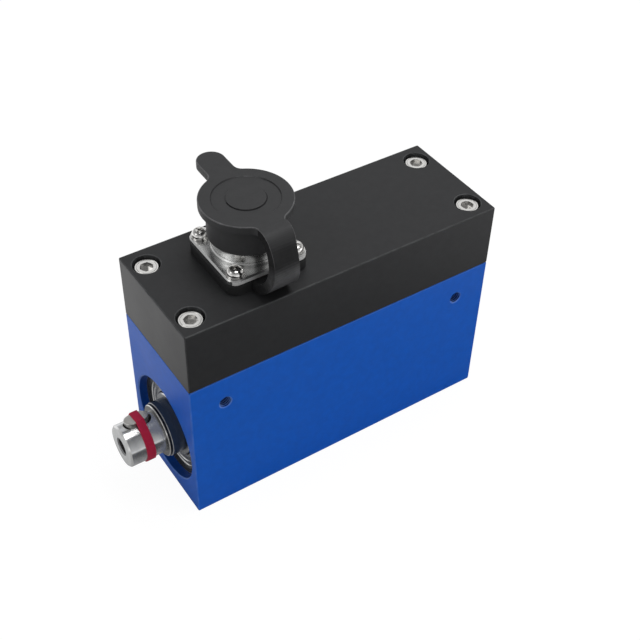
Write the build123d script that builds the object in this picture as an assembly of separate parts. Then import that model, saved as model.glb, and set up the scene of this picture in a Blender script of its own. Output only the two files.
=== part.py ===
from build123d import *
import os
from math import acos, asin, cos, pi, radians, sin, sqrt, tan

# Rotary torque sensor. Millimetres, +Z up. X runs along the shaft, and the shaft end
# with the longer stub points to -X. The origin is the middle of the housing's underside.

# Housing and cover blocks
body_length = 109.0
body_width = 40.0
housing_height = 54.0
cover_height = 22.0
outer_chamfer = 0.4
shaft_height = 20.8

# Ball bearings, two of the same size
bearing_bore = 15.0
bearing_outside = 35.0
bearing_width = 11.0
bearing_recess = 2.7
bearing_corner = 0.6
ball_diameter = 5.95
ball_count = 8
ball_play = 0.08
race_depth = 1.1
shield_thickness = 0.4
shield_inset = 0.7
shield_gap = 0.3
shield_seat_diameter = 31.0
cage_thickness = 1.7
cage_rim = 0.6
bore_chamfer = 0.35

# Chamber between the bearings
stator_core_wall = 3.0
spring_height = 1.5
spring_thickness = 0.5

# Space for the electronics
housing_end_wall = 16.5
housing_side_wall = 8.0
pocket_corner = 3.0
chamber_break = 2.8
cover_end_wall = 12.5
cover_side_wall = 5.0
cover_roof = 5.0
seal_margin = 1.1
seal_width = 1.8
seal_depth = 1.2

# Cover screws, hexagon socket cap screws M4
screw_inset_x = 5.6
screw_inset_y = 6.8
cap_screw_diameter = 4.0
cap_head_diameter = 7.0
cap_head_height = 4.0
cap_head_below = 1.3
counterbore_diameter = 8.0
counterbore_chamfer = 0.35
cap_socket_width = 3.0
cap_socket_depth = 2.0
cap_screw_length = 25.0
cap_hole_extra = 2.0
screw_play = 0.02
hole_play = 0.25

# Two tapped holes M4 in the near long side
side_hole_inset = 11.6
side_hole_drop = 10.0
side_hole_core = 3.3
side_hole_depth = 8.0
side_hole_mouth = 4.4

# Shaft with its thin measuring length
left_stub = 14.8
right_stub = 13.2
end_diameter = 14.0
end_chamfer = 0.5
shoulder_diameter = 19.0
shoulder_length = 3.0
seat_diameter = 17.0
seat_spare = 2.5
cone_length = 4.0
measuring_diameter = 10.0
centre_hole_core = 4.2
centre_hole_depth = 12.0
centre_hole_mouth = 6.0

# Sleeve and retaining ring outside each bearing
sleeve_diameter = 18.0
sleeve_stand = 1.6
sleeve_chamfer = 0.2
sleeve_groove = 0.2
ring_thickness = 1.0
ring_groove_depth = 0.35
ring_width = 2.05
ring_gap_angle = 42.0
ring_lug_radius = 1.5
ring_lug_hole = 0.85
ring_turn = 45.0

# Parallel keys with round ends, and the rubber bands that hold them
key_width = 5.0
key_height = 5.0
key_length = 8.0
keyway_depth = 3.5
key_from_face = 4.4
key_turn = -10.0
key_chamfer = 0.3
keyway_front_gap = 0.45
keyway_rear_gap = 0.8
band_width = 3.5
band_thickness = 0.45
band_from_face = 6.9

# Strain gauges on the measuring length
gauge_length = 8.0
gauge_thickness = 0.15
gauge_angle = 40.0
gauge_count = 4

# Rotary transformers: a rotor ring inside a stator ring, at each end of the chamber
core_length = 6.0
core_end_gap = 1.3
core_air_gap = 0.3
rotor_core_wall = 3.2
winding_length = 3.6
winding_depth = 1.9

# Circuit disc that turns with the shaft
disc_thickness = 1.6
disc_wall_gap = 2.0
disc_gap = 4.4
chip_height = 1.2
chip_size = 3.4
chip_count = 5

# Signal board under the cover's roof
board_thickness = 1.6
board_margin = 3.0
board_drop = 11.4
standoff_diameter = 5.0
standoff_inset = 4.0
board_screw_diameter = 3.0
board_screw_head = 5.5
board_screw_head_height = 2.0
board_screw_grip = 6.0
board_chip_size = 7.0
board_chip_height = 1.6
board_chip_pitch = 11.0
board_chip_count = 3
capacitor_diameter = 5.0
capacitor_height = 7.0
capacitor_pitch = 8.0
board_row = 8.0
board_parts_from = 6.0
board_plug_length = 18.0
board_plug_height = 4.0

# Connector on the cover
connector_from_end = 31.9
flange_side = 26.2
flange_corner = 3.2
flange_thickness = 2.1
flange_chamfer = 0.5
plateau_inset = 1.1
plateau_height = 1.5
plateau_chamfer = 0.7
hub_radius = 11.4
hub_height = 4.4
thread_radius = 10.2
thread_height = 8.9
shell_wall = 1.7
shell_lip = 0.9
shell_lip_height = 1.0
spigot_wall = 0.9
spigot_depth = 7.5
spigot_play = 0.25
insert_height = 12.0
pin_count = 5
pin_circle = 9.6
pin_diameter = 1.6
pin_stand = 5.5
pin_tail = 4.0
wire_diameter = 1.0

# Connector screws M2.5 with washers
flange_screw_pitch = 20.0
flange_screw_diameter = 2.5
flange_screw_head = 5.0
flange_screw_head_height = 1.7
flange_screw_length = 10.0
washer_diameter = 6.0
washer_thickness = 0.5
spot_diameter = 6.6

# Rubber dust cap, its strap and the pad under the flange
pad_thickness = 3.5
cap_disc_radius = 13.7
cap_disc_thickness = 2.6
cap_skirt_wall = 1.2
cap_play = 0.25
cap_lift_gap = 0.2
cap_roof_gap = 0.6
cap_ring_inner = 5.8
cap_ring_outer = 10.0
cap_ring_depth = 0.25
cap_edge_round = 0.5
tab_reach = 20.65
tab_fillet = 3.0
root_reach = 15.4
root_fillet = 2.5
strap_width = 8.7
strap_thickness = 3.2
strap_lean = 2.2
strap_shoulder_reach = 18.4
strap_shoulder_drop = 1.4
strap_belly_reach = 21.2
strap_belly_height = 12.4
strap_waist_reach = 20.2
strap_waist_height = 6.6
strap_foot_rise = 0.5

# Worked out from the sizes above
half_length = body_length / 2
half_width = body_width / 2
body_height = housing_height + cover_height
connector_x = connector_from_end - half_length
bearing_inner_face = half_length - bearing_recess - bearing_width
pitch_radius = (bearing_bore + bearing_outside) / 4
ball_radius = ball_diameter / 2
inner_land = pitch_radius - ball_radius + race_depth
outer_land = pitch_radius + ball_radius - race_depth
shoulder_end = bearing_inner_face - shoulder_length
rotor_core_radius = seat_diameter / 2 + rotor_core_wall
stator_core_radius = rotor_core_radius + core_air_gap
chamber_radius = stator_core_radius + stator_core_wall
core_centre = shoulder_end - core_end_gap - core_length / 2
disc_place = core_centre - core_length / 2 - disc_gap - disc_thickness
seat_inner_end = disc_place - seat_spare
pocket_floor = shaft_height + chamber_radius - chamber_break
flange_base = body_height + pad_thickness
flange_top = flange_base + flange_thickness
hub_top = flange_top + hub_height
shell_top = hub_top + thread_height
shell_bore = thread_radius - shell_wall
spigot_radius = shell_bore + spigot_wall
spigot_bottom = flange_base - spigot_depth
insert_bottom = spigot_bottom + shell_lip_height
insert_top = insert_bottom + insert_height
roof_bottom = body_height - cover_roof
board_top = roof_bottom - board_drop
board_bottom = board_top - board_thickness
cap_bottom = hub_top + cap_lift_gap
cap_ceiling = shell_top + cap_roof_gap
cap_top = cap_ceiling + cap_disc_thickness
cap_bore = thread_radius + cap_play
tab_radius = strap_width / 2
overlap = 1.0


def turned(*points):
    """A solid of revolution round the shaft's axis from (x, radius) points."""
    face = Plane.XZ * make_face(Polyline(*points, close=True))
    return Pos(0, 0, shaft_height) * revolve(face, Axis.X)


def tube(x_start, x_end, inner, outer):
    """A plain ring round the shaft's axis."""
    return turned((x_start, inner), (x_end, inner), (x_end, outer), (x_start, outer))


def upright(radius, bottom, top, x=0.0, y=0.0):
    """A round bar that stands on end."""
    return Pos(x, y, bottom) * Cylinder(radius, top - bottom, align=(Align.CENTER, Align.CENTER, Align.MIN))


def slab(length, width, corner, bottom, top, x=0.0, y=0.0):
    """A flat block with rounded upright corners."""
    outline = RectangleRounded(length, width, corner)
    return Pos(x, y, bottom) * extrude(outline, top - bottom)


def about_shaft(shape, angle):
    """The shape, made upright over the X axis, turned and lifted to the shaft's axis."""
    return Pos(0, 0, shaft_height) * Rot(angle, 0, 0) * shape


def group(solids):
    """Several separate solids as one node."""
    return Compound(children=[solid for solid in solids])


def cover_screw_places():
    x = half_length - screw_inset_x
    y = half_width - screw_inset_y
    return [(sx * x, sy * y) for sx in (-1, 1) for sy in (-1, 1)]


def flange_screw_places():
    half = flange_screw_pitch / 2
    return [(connector_x + sx * half, sy * half) for sx in (-1, 1) for sy in (-1, 1)]


def standoff_places():
    x = half_length - cover_end_wall - board_margin - standoff_inset
    y = half_width - cover_side_wall - board_margin - standoff_inset
    return [(sx * x, sy * y) for sx in (-1, 1) for sy in (-1, 1)]


def pin_places():
    radius = pin_circle / 2
    turns = [2 * pi * k / pin_count + pi / 2 for k in range(pin_count)]
    return [(connector_x + radius * cos(t), radius * sin(t)) for t in turns]


def seal_loop(bottom, top):
    """The band that the cover seal fills, round the electronics pocket."""
    length = body_length - 2 * cover_end_wall + 2 * seal_margin
    width = body_width - 2 * cover_side_wall + 2 * seal_margin
    corner = pocket_corner + seal_margin
    outer = slab(length + 2 * seal_width, width + 2 * seal_width, corner + seal_width, bottom, top)
    return outer - slab(length, width, corner, bottom - overlap, top + overlap)


def make_housing():
    block = Pos(0, 0, housing_height / 2) * Box(body_length, body_width, housing_height)
    block = chamfer(block.edges(), outer_chamfer)
    bearing_radius = bearing_outside / 2
    block -= tube(-half_length - overlap, half_length + overlap, 0, chamber_radius)
    for side, spring in ((-1, 0.0), (1, spring_height)):
        mouth = side * (half_length + overlap)
        floor = side * (bearing_inner_face - spring)
        face = side * half_length
        flare = bearing_radius + bore_chamfer
        block -= turned((mouth, 0), (mouth, flare), (face, flare),
                        (face - side * bore_chamfer, bearing_radius), (floor, bearing_radius), (floor, 0))
    pocket_length = body_length - 2 * housing_end_wall
    pocket_width = body_width - 2 * housing_side_wall
    block -= slab(pocket_length, pocket_width, pocket_corner, pocket_floor, housing_height + overlap)
    block -= seal_loop(housing_height - seal_depth, housing_height + overlap)
    hole_bottom = body_height - cap_head_below - cap_head_height - cap_screw_length - cap_hole_extra
    for x, y in cover_screw_places():
        block -= upright(cap_screw_diameter / 2, hole_bottom, housing_height + overlap, x, y)
    for sx in (-1, 1):
        block -= side_hole(sx * (half_length - side_hole_inset))
    return block


def side_hole(x):
    """A tapped hole with its countersunk mouth, cut into the long side at -Y."""
    core = side_hole_core / 2
    mouth = side_hole_mouth / 2
    deep = side_hole_depth
    tip = deep + core * tan(radians(30))
    profile = make_face(Polyline((0, -overlap), (mouth, -overlap), (mouth, 0), (core, mouth - core),
                                 (core, deep), (0, tip), close=True))
    return Pos(x, -half_width, housing_height - side_hole_drop) * revolve(profile, Axis.Y)


def make_cover():
    block = Pos(0, 0, housing_height + cover_height / 2) * Box(body_length, body_width, cover_height)
    block = chamfer(block.edges(), outer_chamfer)
    length = body_length - 2 * cover_end_wall
    width = body_width - 2 * cover_side_wall
    block -= slab(length, width, pocket_corner, housing_height - overlap, roof_bottom)
    block -= upright(spigot_radius + spigot_play, roof_bottom - overlap, body_height + overlap, connector_x)
    head_seat = body_height - cap_head_below - cap_head_height
    for x, y in cover_screw_places():
        block -= upright(cap_screw_diameter / 2 + hole_play, housing_height - overlap, head_seat + overlap, x, y)
        block -= upright(counterbore_diameter / 2, head_seat, body_height + overlap, x, y)
        rim = Cone(counterbore_diameter / 2, counterbore_diameter / 2 + counterbore_chamfer, counterbore_chamfer,
                   align=(Align.CENTER, Align.CENTER, Align.MAX))
        block -= Pos(x, y, body_height) * rim
    for x, y in flange_screw_places():
        block -= upright(flange_screw_diameter / 2, roof_bottom - overlap, body_height + overlap, x, y)
    for x, y in standoff_places():
        block -= upright(board_screw_diameter / 2, roof_bottom - overlap, roof_bottom + cover_roof / 2, x, y)
    return block


def make_cover_screws():
    screws = []
    seat = body_height - cap_head_below - cap_head_height
    for x, y in cover_screw_places():
        head = upright(cap_head_diameter / 2, seat, seat + cap_head_height, x, y)
        head = chamfer(head.edges().group_by(Axis.Z)[-1], outer_chamfer)
        socket = Pos(x, y, seat + cap_head_height - cap_socket_depth) * extrude(
            RegularPolygon(cap_socket_width / 2, 6, major_radius=False), cap_socket_depth + overlap)
        shank = upright(cap_screw_diameter / 2 - screw_play, seat - cap_screw_length, seat + overlap, x, y)
        screws.append(head + shank - socket)
    return group(screws)


def make_outer_ring(side):
    near = side * (half_length - bearing_recess)
    far = side * bearing_inner_face
    outer = bearing_outside / 2
    c = bearing_corner
    ring = turned((near, outer_land), (near, outer - c), (near - side * c, outer), (far + side * c, outer),
                  (far, outer - c), (far, outer_land))
    ring -= race_groove(side)
    return ring - shield_seats(side)


def make_inner_ring(side):
    near = side * (half_length - bearing_recess)
    far = side * bearing_inner_face
    bore = bearing_bore / 2
    c = bearing_corner / 2
    ring = turned((near, bore), (near, inner_land - c), (near - side * c, inner_land),
                  (far + side * c, inner_land), (far, inner_land - c), (far, bore))
    return ring - race_groove(side)


def bearing_centre(side):
    return side * (bearing_inner_face + bearing_width / 2)


def race_groove(side):
    """The round groove that the balls run in, cut from both rings."""
    circle = Plane.XZ * (Pos(bearing_centre(side), pitch_radius) * Circle(ball_radius + ball_play))
    return Pos(0, 0, shaft_height) * revolve(circle, Axis.X)


def shield_rims():
    """Distances from the bearing's middle to each side of its two shields."""
    out = bearing_width / 2 - shield_inset
    return ((out - shield_thickness, out), (-out, -out + shield_thickness))


def shield_seats(side):
    """The step at each face of the outer ring that a shield is pressed into."""
    reach = bearing_width / 2
    step = reach - shield_inset - shield_thickness
    centre = bearing_centre(side)
    radius = shield_seat_diameter / 2
    seats = tube(centre + step, centre + reach + overlap, outer_land - overlap, radius)
    return seats + tube(centre - reach - overlap, centre - step, outer_land - overlap, radius)


def make_shields(side):
    shields = []
    centre = bearing_centre(side)
    for low, high in shield_rims():
        shields.append(tube(centre + low, centre + high, inner_land + shield_gap, shield_seat_diameter / 2))
    return group(shields)


def ball_places():
    turns = [2 * pi * k / ball_count for k in range(ball_count)]
    return [(pitch_radius * cos(t), shaft_height + pitch_radius * sin(t)) for t in turns]


def make_balls(side):
    return group([Pos(bearing_centre(side), y, z) * Sphere(ball_radius) for y, z in ball_places()])


def make_cage(side):
    half = ball_radius + ball_play + cage_rim
    centre = bearing_centre(side)
    cage = tube(centre - half, centre + half, pitch_radius - cage_thickness / 2, pitch_radius + cage_thickness / 2)
    for y, z in ball_places():
        cage -= Pos(centre, y, z) * Sphere(ball_radius + ball_play)
    return cage


def make_preload_spring():
    """A disc spring between the right bearing and its shoulder."""
    far = bearing_inner_face - spring_height
    outer = bearing_outside / 2 - hole_play
    inner = outer_land + bearing_corner
    t = spring_thickness
    return turned((far, outer), (far + t, outer), (bearing_inner_face, inner), (bearing_inner_face - t, inner))


def shaft_half(side, stub):
    """Points of one half of the shaft, from its end to the middle."""
    end = half_length + stub
    ring_outer = half_length + sleeve_stand + ring_thickness
    ring_inner = half_length + sleeve_stand
    groove = end_diameter / 2 - ring_groove_depth
    points = [(end, 0), (end, end_diameter / 2 - end_chamfer), (end - end_chamfer, end_diameter / 2),
              (ring_outer, end_diameter / 2), (ring_outer, groove), (ring_inner, groove),
              (ring_inner, bearing_bore / 2), (bearing_inner_face, bearing_bore / 2),
              (bearing_inner_face, shoulder_diameter / 2), (shoulder_end, shoulder_diameter / 2),
              (shoulder_end, seat_diameter / 2), (seat_inner_end, seat_diameter / 2),
              (seat_inner_end - cone_length, measuring_diameter / 2)]
    return [(side * x, radius) for x, radius in points]


def keyway_cut(side):
    length = key_length + keyway_front_gap + keyway_rear_gap
    start = half_length + key_from_face - keyway_rear_gap
    slot = Pos(side * (start + length / 2), 0, end_diameter / 2 - keyway_depth) * extrude(
        SlotOverall(length, key_width), key_height + overlap)
    return about_shaft(slot, key_turn)


def centre_hole(side, stub):
    end = side * (half_length + stub)
    core = centre_hole_core / 2
    mouth = centre_hole_mouth / 2
    deep = end - side * centre_hole_depth
    return turned((end + side * overlap, 0), (end + side * overlap, mouth), (end, mouth),
                  (end - side * (mouth - core), core), (deep, core), (deep - side * core * tan(radians(30)), 0))


def make_shaft():
    shaft = turned(*(shaft_half(-1, left_stub) + shaft_half(1, right_stub)[::-1]))
    for side, stub in ((-1, left_stub), (1, right_stub)):
        shaft -= keyway_cut(side)
        shaft -= centre_hole(side, stub)
    return shaft


def make_key(side):
    key = extrude(SlotOverall(key_length, key_width), key_height)
    key = chamfer(key.edges().group_by(Axis.Z)[-1], key_chamfer)
    x = side * (half_length + key_from_face + key_length / 2)
    return about_shaft(Pos(x, 0, end_diameter / 2 - keyway_depth) * key, key_turn)


def band_inside():
    """The loop round the shaft and over the key, straight between the two."""
    radius = end_diameter / 2 + screw_play
    top = end_diameter / 2 - keyway_depth + key_height + screw_play
    flat = key_width / 2 - key_chamfer
    side = key_width / 2 + screw_play
    shoulder = top - key_chamfer
    touch = pi / 2 - asin(side / sqrt(side ** 2 + shoulder ** 2)) - acos(radius / sqrt(side ** 2 + shoulder ** 2))
    y, z = radius * cos(touch), radius * sin(touch)
    lid = Polyline((-y, z), (-side, shoulder), (-flat, top), (flat, top), (side, shoulder), (y, z))
    return make_face(Curve() + lid + ThreePointArc((y, z), (0, -radius), (-y, z)))


def make_band(side):
    inside = band_inside()
    loop = offset(inside, band_thickness) - inside
    band = Plane.YZ * extrude(loop, band_width)
    start = side * (half_length + band_from_face)
    return about_shaft(Pos(start if side > 0 else start - band_width, 0, 0) * band, key_turn)


def make_sleeve(side):
    outer_end = side * (half_length + sleeve_stand)
    inner_end = side * (half_length - bearing_recess)
    outside = sleeve_diameter / 2
    bore = bearing_bore / 2
    c = sleeve_chamfer
    middle = (outer_end + inner_end) / 2
    g = sleeve_groove
    return turned((outer_end, bore), (outer_end, outside - c), (outer_end - side * c, outside),
                  (middle + side * g, outside), (middle, outside - g), (middle - side * g, outside),
                  (inner_end, outside), (inner_end, bore))


def make_retaining_ring(side):
    """An open ring with two drilled lugs, in the shaft's groove."""
    inner = end_diameter / 2 - ring_groove_depth
    outer = inner + ring_width
    lug_at = ring_gap_angle / 2
    lug_centre = inner + ring_lug_radius
    plate = Circle(outer)
    for sign in (-1, 1):
        angle = radians(270 + sign * lug_at)
        plate += Pos(lug_centre * cos(angle), lug_centre * sin(angle)) * Circle(ring_lug_radius)
    plate -= Circle(inner)
    wedge_width = 2 * inner * sin(radians(lug_at - 12))
    plate -= Pos(0, -outer) * Rectangle(wedge_width, 2 * outer)
    for sign in (-1, 1):
        angle = radians(270 + sign * lug_at)
        plate -= Pos(lug_centre * cos(angle), lug_centre * sin(angle)) * Circle(ring_lug_hole)
    plate = plate.faces().sort_by(SortBy.AREA)[-1]
    ring = Plane.YZ * extrude(plate, ring_thickness)
    start = half_length + sleeve_stand
    x = start if side > 0 else -start - ring_thickness
    return about_shaft(Pos(x, 0, 0) * ring, ring_turn)


def make_strain_gauges():
    radius = measuring_diameter / 2
    shell = tube(-gauge_length / 2, gauge_length / 2, radius, radius + gauge_thickness)
    half = gauge_angle / 2
    gauges = []
    for k in range(gauge_count):
        wide = (radius + overlap) * tan(radians(half))
        wedge = make_face(Polyline((0, 0), (-wide, radius + overlap), (wide, radius + overlap), close=True))
        prism = Plane.YZ * extrude(wedge, gauge_length, both=True)
        gauges.append((shell & about_shaft(prism, 360 * k / gauge_count)).solids()[0])
    return group(gauges)


def core_ends(side):
    low = side * core_centre - core_length / 2
    return low, low + core_length


def winding_ends(side):
    low = side * core_centre - winding_length / 2
    return low, low + winding_length


def make_rotor_core(side):
    outer = rotor_core_radius
    core = tube(*core_ends(side), seat_diameter / 2, outer)
    return core - tube(*winding_ends(side), outer - winding_depth, outer + overlap)


def make_rotor_winding(side):
    outer = rotor_core_radius
    return tube(*winding_ends(side), outer - winding_depth, outer - core_air_gap)


def make_stator_core(side):
    inner = stator_core_radius
    core = tube(*core_ends(side), inner, chamber_radius)
    return core - tube(*winding_ends(side), inner - overlap, inner + winding_depth)


def make_stator_winding(side):
    inner = stator_core_radius
    return tube(*winding_ends(side), inner + core_air_gap, inner + winding_depth)


def make_stator_leads():
    top_of_core = shaft_height + chamber_radius
    leads = []
    for side in (-1, 1):
        for step in (-1, 1):
            x = side * core_centre + step * core_length / 4
            leads.append(upright(wire_diameter / 2, top_of_core, board_bottom, x))
    return group(leads)


def make_rotor_disc():
    return tube(disc_place, disc_place + disc_thickness, seat_diameter / 2, chamber_radius - disc_wall_gap)


def make_rotor_chips():
    middle = (seat_diameter / 2 + chamber_radius - disc_wall_gap) / 2
    x = disc_place + disc_thickness + chip_height / 2
    return group([about_shaft(Pos(x, 0, middle) * Box(chip_height, chip_size, chip_size), 360 * k / chip_count)
                  for k in range(chip_count)])


def make_signal_board():
    length = body_length - 2 * cover_end_wall - 2 * board_margin
    width = body_width - 2 * cover_side_wall - 2 * board_margin
    board = slab(length, width, board_margin / 2, board_bottom, board_top)
    for x, y in standoff_places():
        board -= upright(board_screw_diameter / 2 + hole_play, board_bottom - overlap, board_top + overlap, x, y)
    return board


def make_standoffs():
    standoffs = []
    for x, y in standoff_places():
        post = Pos(x, y, board_top) * extrude(
            RegularPolygon(standoff_diameter / 2, 6, major_radius=False), roof_bottom - board_top)
        post += upright(board_screw_diameter / 2 - screw_play, roof_bottom - overlap,
                        roof_bottom + cover_roof / 2 - hole_play, x, y)
        post -= upright(board_screw_diameter / 2, board_top - overlap, board_top + board_screw_grip, x, y)
        standoffs.append(post)
    return group(standoffs)


def make_board_screws():
    screws = []
    for x, y in standoff_places():
        head = upright(board_screw_head / 2, board_bottom - board_screw_head_height, board_bottom, x, y)
        shank = upright(board_screw_diameter / 2 - screw_play, board_bottom - overlap,
                        board_top + board_screw_grip - hole_play, x, y)
        screws.append(head + shank)
    return group(screws)


def make_board_parts():
    """Chips and capacitors on the signal board, beyond the connector's wires."""
    start = connector_x + shell_bore + board_parts_from
    size = board_chip_size
    solids = []
    for k in range(board_chip_count):
        solids.append(Pos(start + board_chip_pitch * k, 0, board_top + board_chip_height / 2) * Box(
            size, size, board_chip_height))
        solids.append(upright(capacitor_diameter / 2, board_top, board_top + capacitor_height,
                              start + capacitor_pitch * k, board_row))
    height = board_plug_height
    solids.append(Pos(start + board_plug_length / 2, -board_row, board_top + height / 2) * Box(
        board_plug_length, height, height))
    return group(solids)


def make_pad():
    pad = slab(flange_side, flange_side, flange_corner, body_height, flange_base, connector_x)
    pad -= upright(spigot_radius + spigot_play, body_height - overlap, flange_base + overlap, connector_x)
    for x, y in flange_screw_places():
        pad -= upright(flange_screw_diameter / 2 + hole_play, body_height - overlap, flange_base + overlap, x, y)
    return pad


def make_connector_shell():
    flange = slab(flange_side, flange_side, flange_corner, flange_base, flange_top, connector_x)
    flange = chamfer(flange.edges().group_by(Axis.Z)[-1], flange_chamfer)
    plateau_side = flange_side - 2 * plateau_inset
    plateau = slab(plateau_side, plateau_side, flange_corner, flange_top - overlap,
                   flange_top + plateau_height, connector_x)
    plateau = chamfer(plateau.edges().group_by(Axis.Z)[-1], plateau_chamfer)
    shell = flange + plateau
    shell += upright(hub_radius, flange_top, hub_top, connector_x)
    barrel = upright(thread_radius, flange_top, shell_top, connector_x)
    shell += chamfer(barrel.edges().group_by(Axis.Z)[-1], flange_chamfer)
    shell += upright(spigot_radius, spigot_bottom, flange_base + overlap, connector_x)
    shell -= upright(shell_bore, insert_bottom, shell_top + overlap, connector_x)
    shell -= upright(shell_bore - shell_lip, spigot_bottom - overlap, insert_bottom + overlap, connector_x)
    for x, y in flange_screw_places():
        shell -= upright(spot_diameter / 2, flange_top, hub_top + overlap, x, y)
        shell -= upright(flange_screw_diameter / 2 + hole_play, flange_base - overlap, flange_top + overlap, x, y)
    return shell


def make_connector_insert():
    insert = upright(shell_bore - screw_play, insert_bottom, insert_top, connector_x)
    for x, y in pin_places():
        insert -= upright(pin_diameter / 2, insert_bottom - overlap, insert_top + overlap, x, y)
    return insert


def make_contact_pins():
    bottom = insert_bottom - pin_tail
    top = insert_top + pin_stand
    pins = []
    for x, y in pin_places():
        pin = upright(pin_diameter / 2 - screw_play, bottom, top, x, y)
        pins.append(chamfer(pin.edges().group_by(Axis.Z)[-1], pin_diameter / 5))
    return group(pins)


def make_connector_wires():
    bottom = insert_bottom - pin_tail
    return group([upright(wire_diameter / 2, board_top, bottom, x, y) for x, y in pin_places()])


def make_washers():
    washers = []
    for x, y in flange_screw_places():
        washer = upright(washer_diameter / 2, flange_top, flange_top + washer_thickness, x, y)
        washers.append(washer - upright(flange_screw_diameter / 2 + screw_play, flange_top - overlap,
                                        flange_top + overlap, x, y))
    return group(washers)


def make_flange_screws():
    screws = []
    seat = flange_top + washer_thickness
    for x, y in flange_screw_places():
        head = upright(flange_screw_head / 2, seat, seat + flange_screw_head_height, x, y)
        head = fillet(head.edges().group_by(Axis.Z)[-1], flange_screw_head_height / 2)
        shank = upright(flange_screw_diameter / 2 - screw_play, seat - flange_screw_length, seat + overlap / 2, x, y)
        recess = Box(flange_screw_head * 0.6, flange_screw_head / 8, flange_screw_head_height)
        recess += Rot(0, 0, 90) * recess
        screws.append(head + shank - Pos(x, y, seat + flange_screw_head_height) * recess)
    return group(screws)


def cap_outline():
    """The cap's disc from above: the pull tab towards +Y and the strap's root towards -Y."""
    disc = Circle(cap_disc_radius)
    tab = Pos(0, tab_reach / 2) * Rectangle(2 * tab_radius, tab_reach)
    tab += Pos(0, tab_reach) * Circle(tab_radius)
    root = Pos(0, -root_reach / 2) * Rectangle(strap_width, root_reach)
    outline = disc + tab + root
    inner_corners = [v for v in outline.vertices() if abs(sqrt(v.X ** 2 + v.Y ** 2) - cap_disc_radius) < 0.01]
    upper = [v for v in inner_corners if v.Y > 0]
    lower = [v for v in inner_corners if v.Y < 0]
    outline = fillet(upper, tab_fillet)
    lower = [v for v in outline.vertices() if v.Y < 0 and abs(sqrt(v.X ** 2 + v.Y ** 2) - cap_disc_radius) < 0.01]
    return fillet(lower, min(root_fillet, (root_reach - cap_disc_radius) / 2))


def make_dust_cap():
    plate = extrude(cap_outline(), cap_disc_thickness)
    rim = plate.edges().group_by(Axis.Z)[-1].filter_by(lambda edge: edge.center().Y > -root_reach + overlap / 2)
    plate = Pos(connector_x, 0, cap_ceiling) * chamfer(rim, cap_edge_round)
    skirt = upright(cap_bore + cap_skirt_wall, cap_bottom, cap_ceiling + overlap, connector_x)
    cap = plate + skirt
    cap -= upright(cap_bore, cap_bottom - overlap, cap_ceiling, connector_x)
    ring = Circle(cap_ring_outer) - Circle(cap_ring_inner)
    cap -= Pos(connector_x, 0, cap_top - cap_ring_depth) * extrude(ring, cap_ring_depth + overlap)
    return cap


def strap_line():
    """The middle of the strap from the cap's root, out past the flange and back to the pad."""
    top = cap_top - strap_thickness / 2
    spots = [(-root_reach, top), (-strap_shoulder_reach, top - strap_shoulder_drop),
             (-strap_belly_reach, body_height + strap_belly_height),
             (-strap_waist_reach, body_height + strap_waist_height),
             (-flange_side / 2, body_height + strap_thickness / 2 + strap_foot_rise)]
    heading = (-1, 0)
    arcs = []
    for here, there in zip(spots, spots[1:]):
        arcs.append(TangentArc(here, there, tangent=heading))
        end = arcs[-1] % 1
        heading = (end.X, end.Y)
    return Plane.YZ * Wire(arcs)


def make_strap():
    path = strap_line()
    section = Plane(path @ 0, x_dir=(1, 0, 0), z_dir=path % 0) * Rectangle(strap_width, strap_thickness)
    strap = sweep(section, path)
    return Pos(connector_x, 0, cap_top) * Rot(0, strap_lean, 0) * Pos(0, 0, -cap_top) * strap


def build():
    nodes = {"housing": make_housing(), "cover": make_cover(),
             "cover_seal": seal_loop(housing_height - seal_depth, housing_height),
             "cover_screws": make_cover_screws(), "preload_spring": make_preload_spring(),
             "torsion_shaft": make_shaft(), "strain_gauges": make_strain_gauges()}
    for name, side in (("left", -1), ("right", 1)):
        nodes[f"{name}_outer_ring"] = make_outer_ring(side)
        nodes[f"{name}_inner_ring"] = make_inner_ring(side)
        nodes[f"{name}_shields"] = make_shields(side)
        nodes[f"{name}_balls"] = make_balls(side)
        nodes[f"{name}_ball_cage"] = make_cage(side)
        nodes[f"{name}_sleeve"] = make_sleeve(side)
        nodes[f"{name}_retaining_ring"] = make_retaining_ring(side)
        nodes[f"{name}_key"] = make_key(side)
        nodes[f"{name}_key_band"] = make_band(side)
        nodes[f"{name}_rotor_core"] = make_rotor_core(side)
        nodes[f"{name}_rotor_winding"] = make_rotor_winding(side)
        nodes[f"{name}_stator_core"] = make_stator_core(side)
        nodes[f"{name}_stator_winding"] = make_stator_winding(side)
    nodes["stator_leads"] = make_stator_leads()
    nodes["rotor_disc"] = make_rotor_disc()
    nodes["rotor_chips"] = make_rotor_chips()
    nodes["signal_board"] = make_signal_board()
    nodes["board_parts"] = make_board_parts()
    nodes["board_standoffs"] = make_standoffs()
    nodes["board_screws"] = make_board_screws()
    nodes["flange_pad"] = make_pad()
    nodes["connector_shell"] = make_connector_shell()
    nodes["connector_insert"] = make_connector_insert()
    nodes["contact_pins"] = make_contact_pins()
    nodes["connector_wires"] = make_connector_wires()
    nodes["flange_washers"] = make_washers()
    nodes["flange_screws"] = make_flange_screws()
    nodes["dust_cap"] = make_dust_cap()
    nodes["cap_strap"] = make_strap()
    return nodes


os.makedirs("parts", exist_ok=True)
for node_name, shape in build().items():
    export_step(shape, f"parts/{node_name}.step")
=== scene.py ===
import bpy
import math
from mathutils import Matrix, Vector


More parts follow.
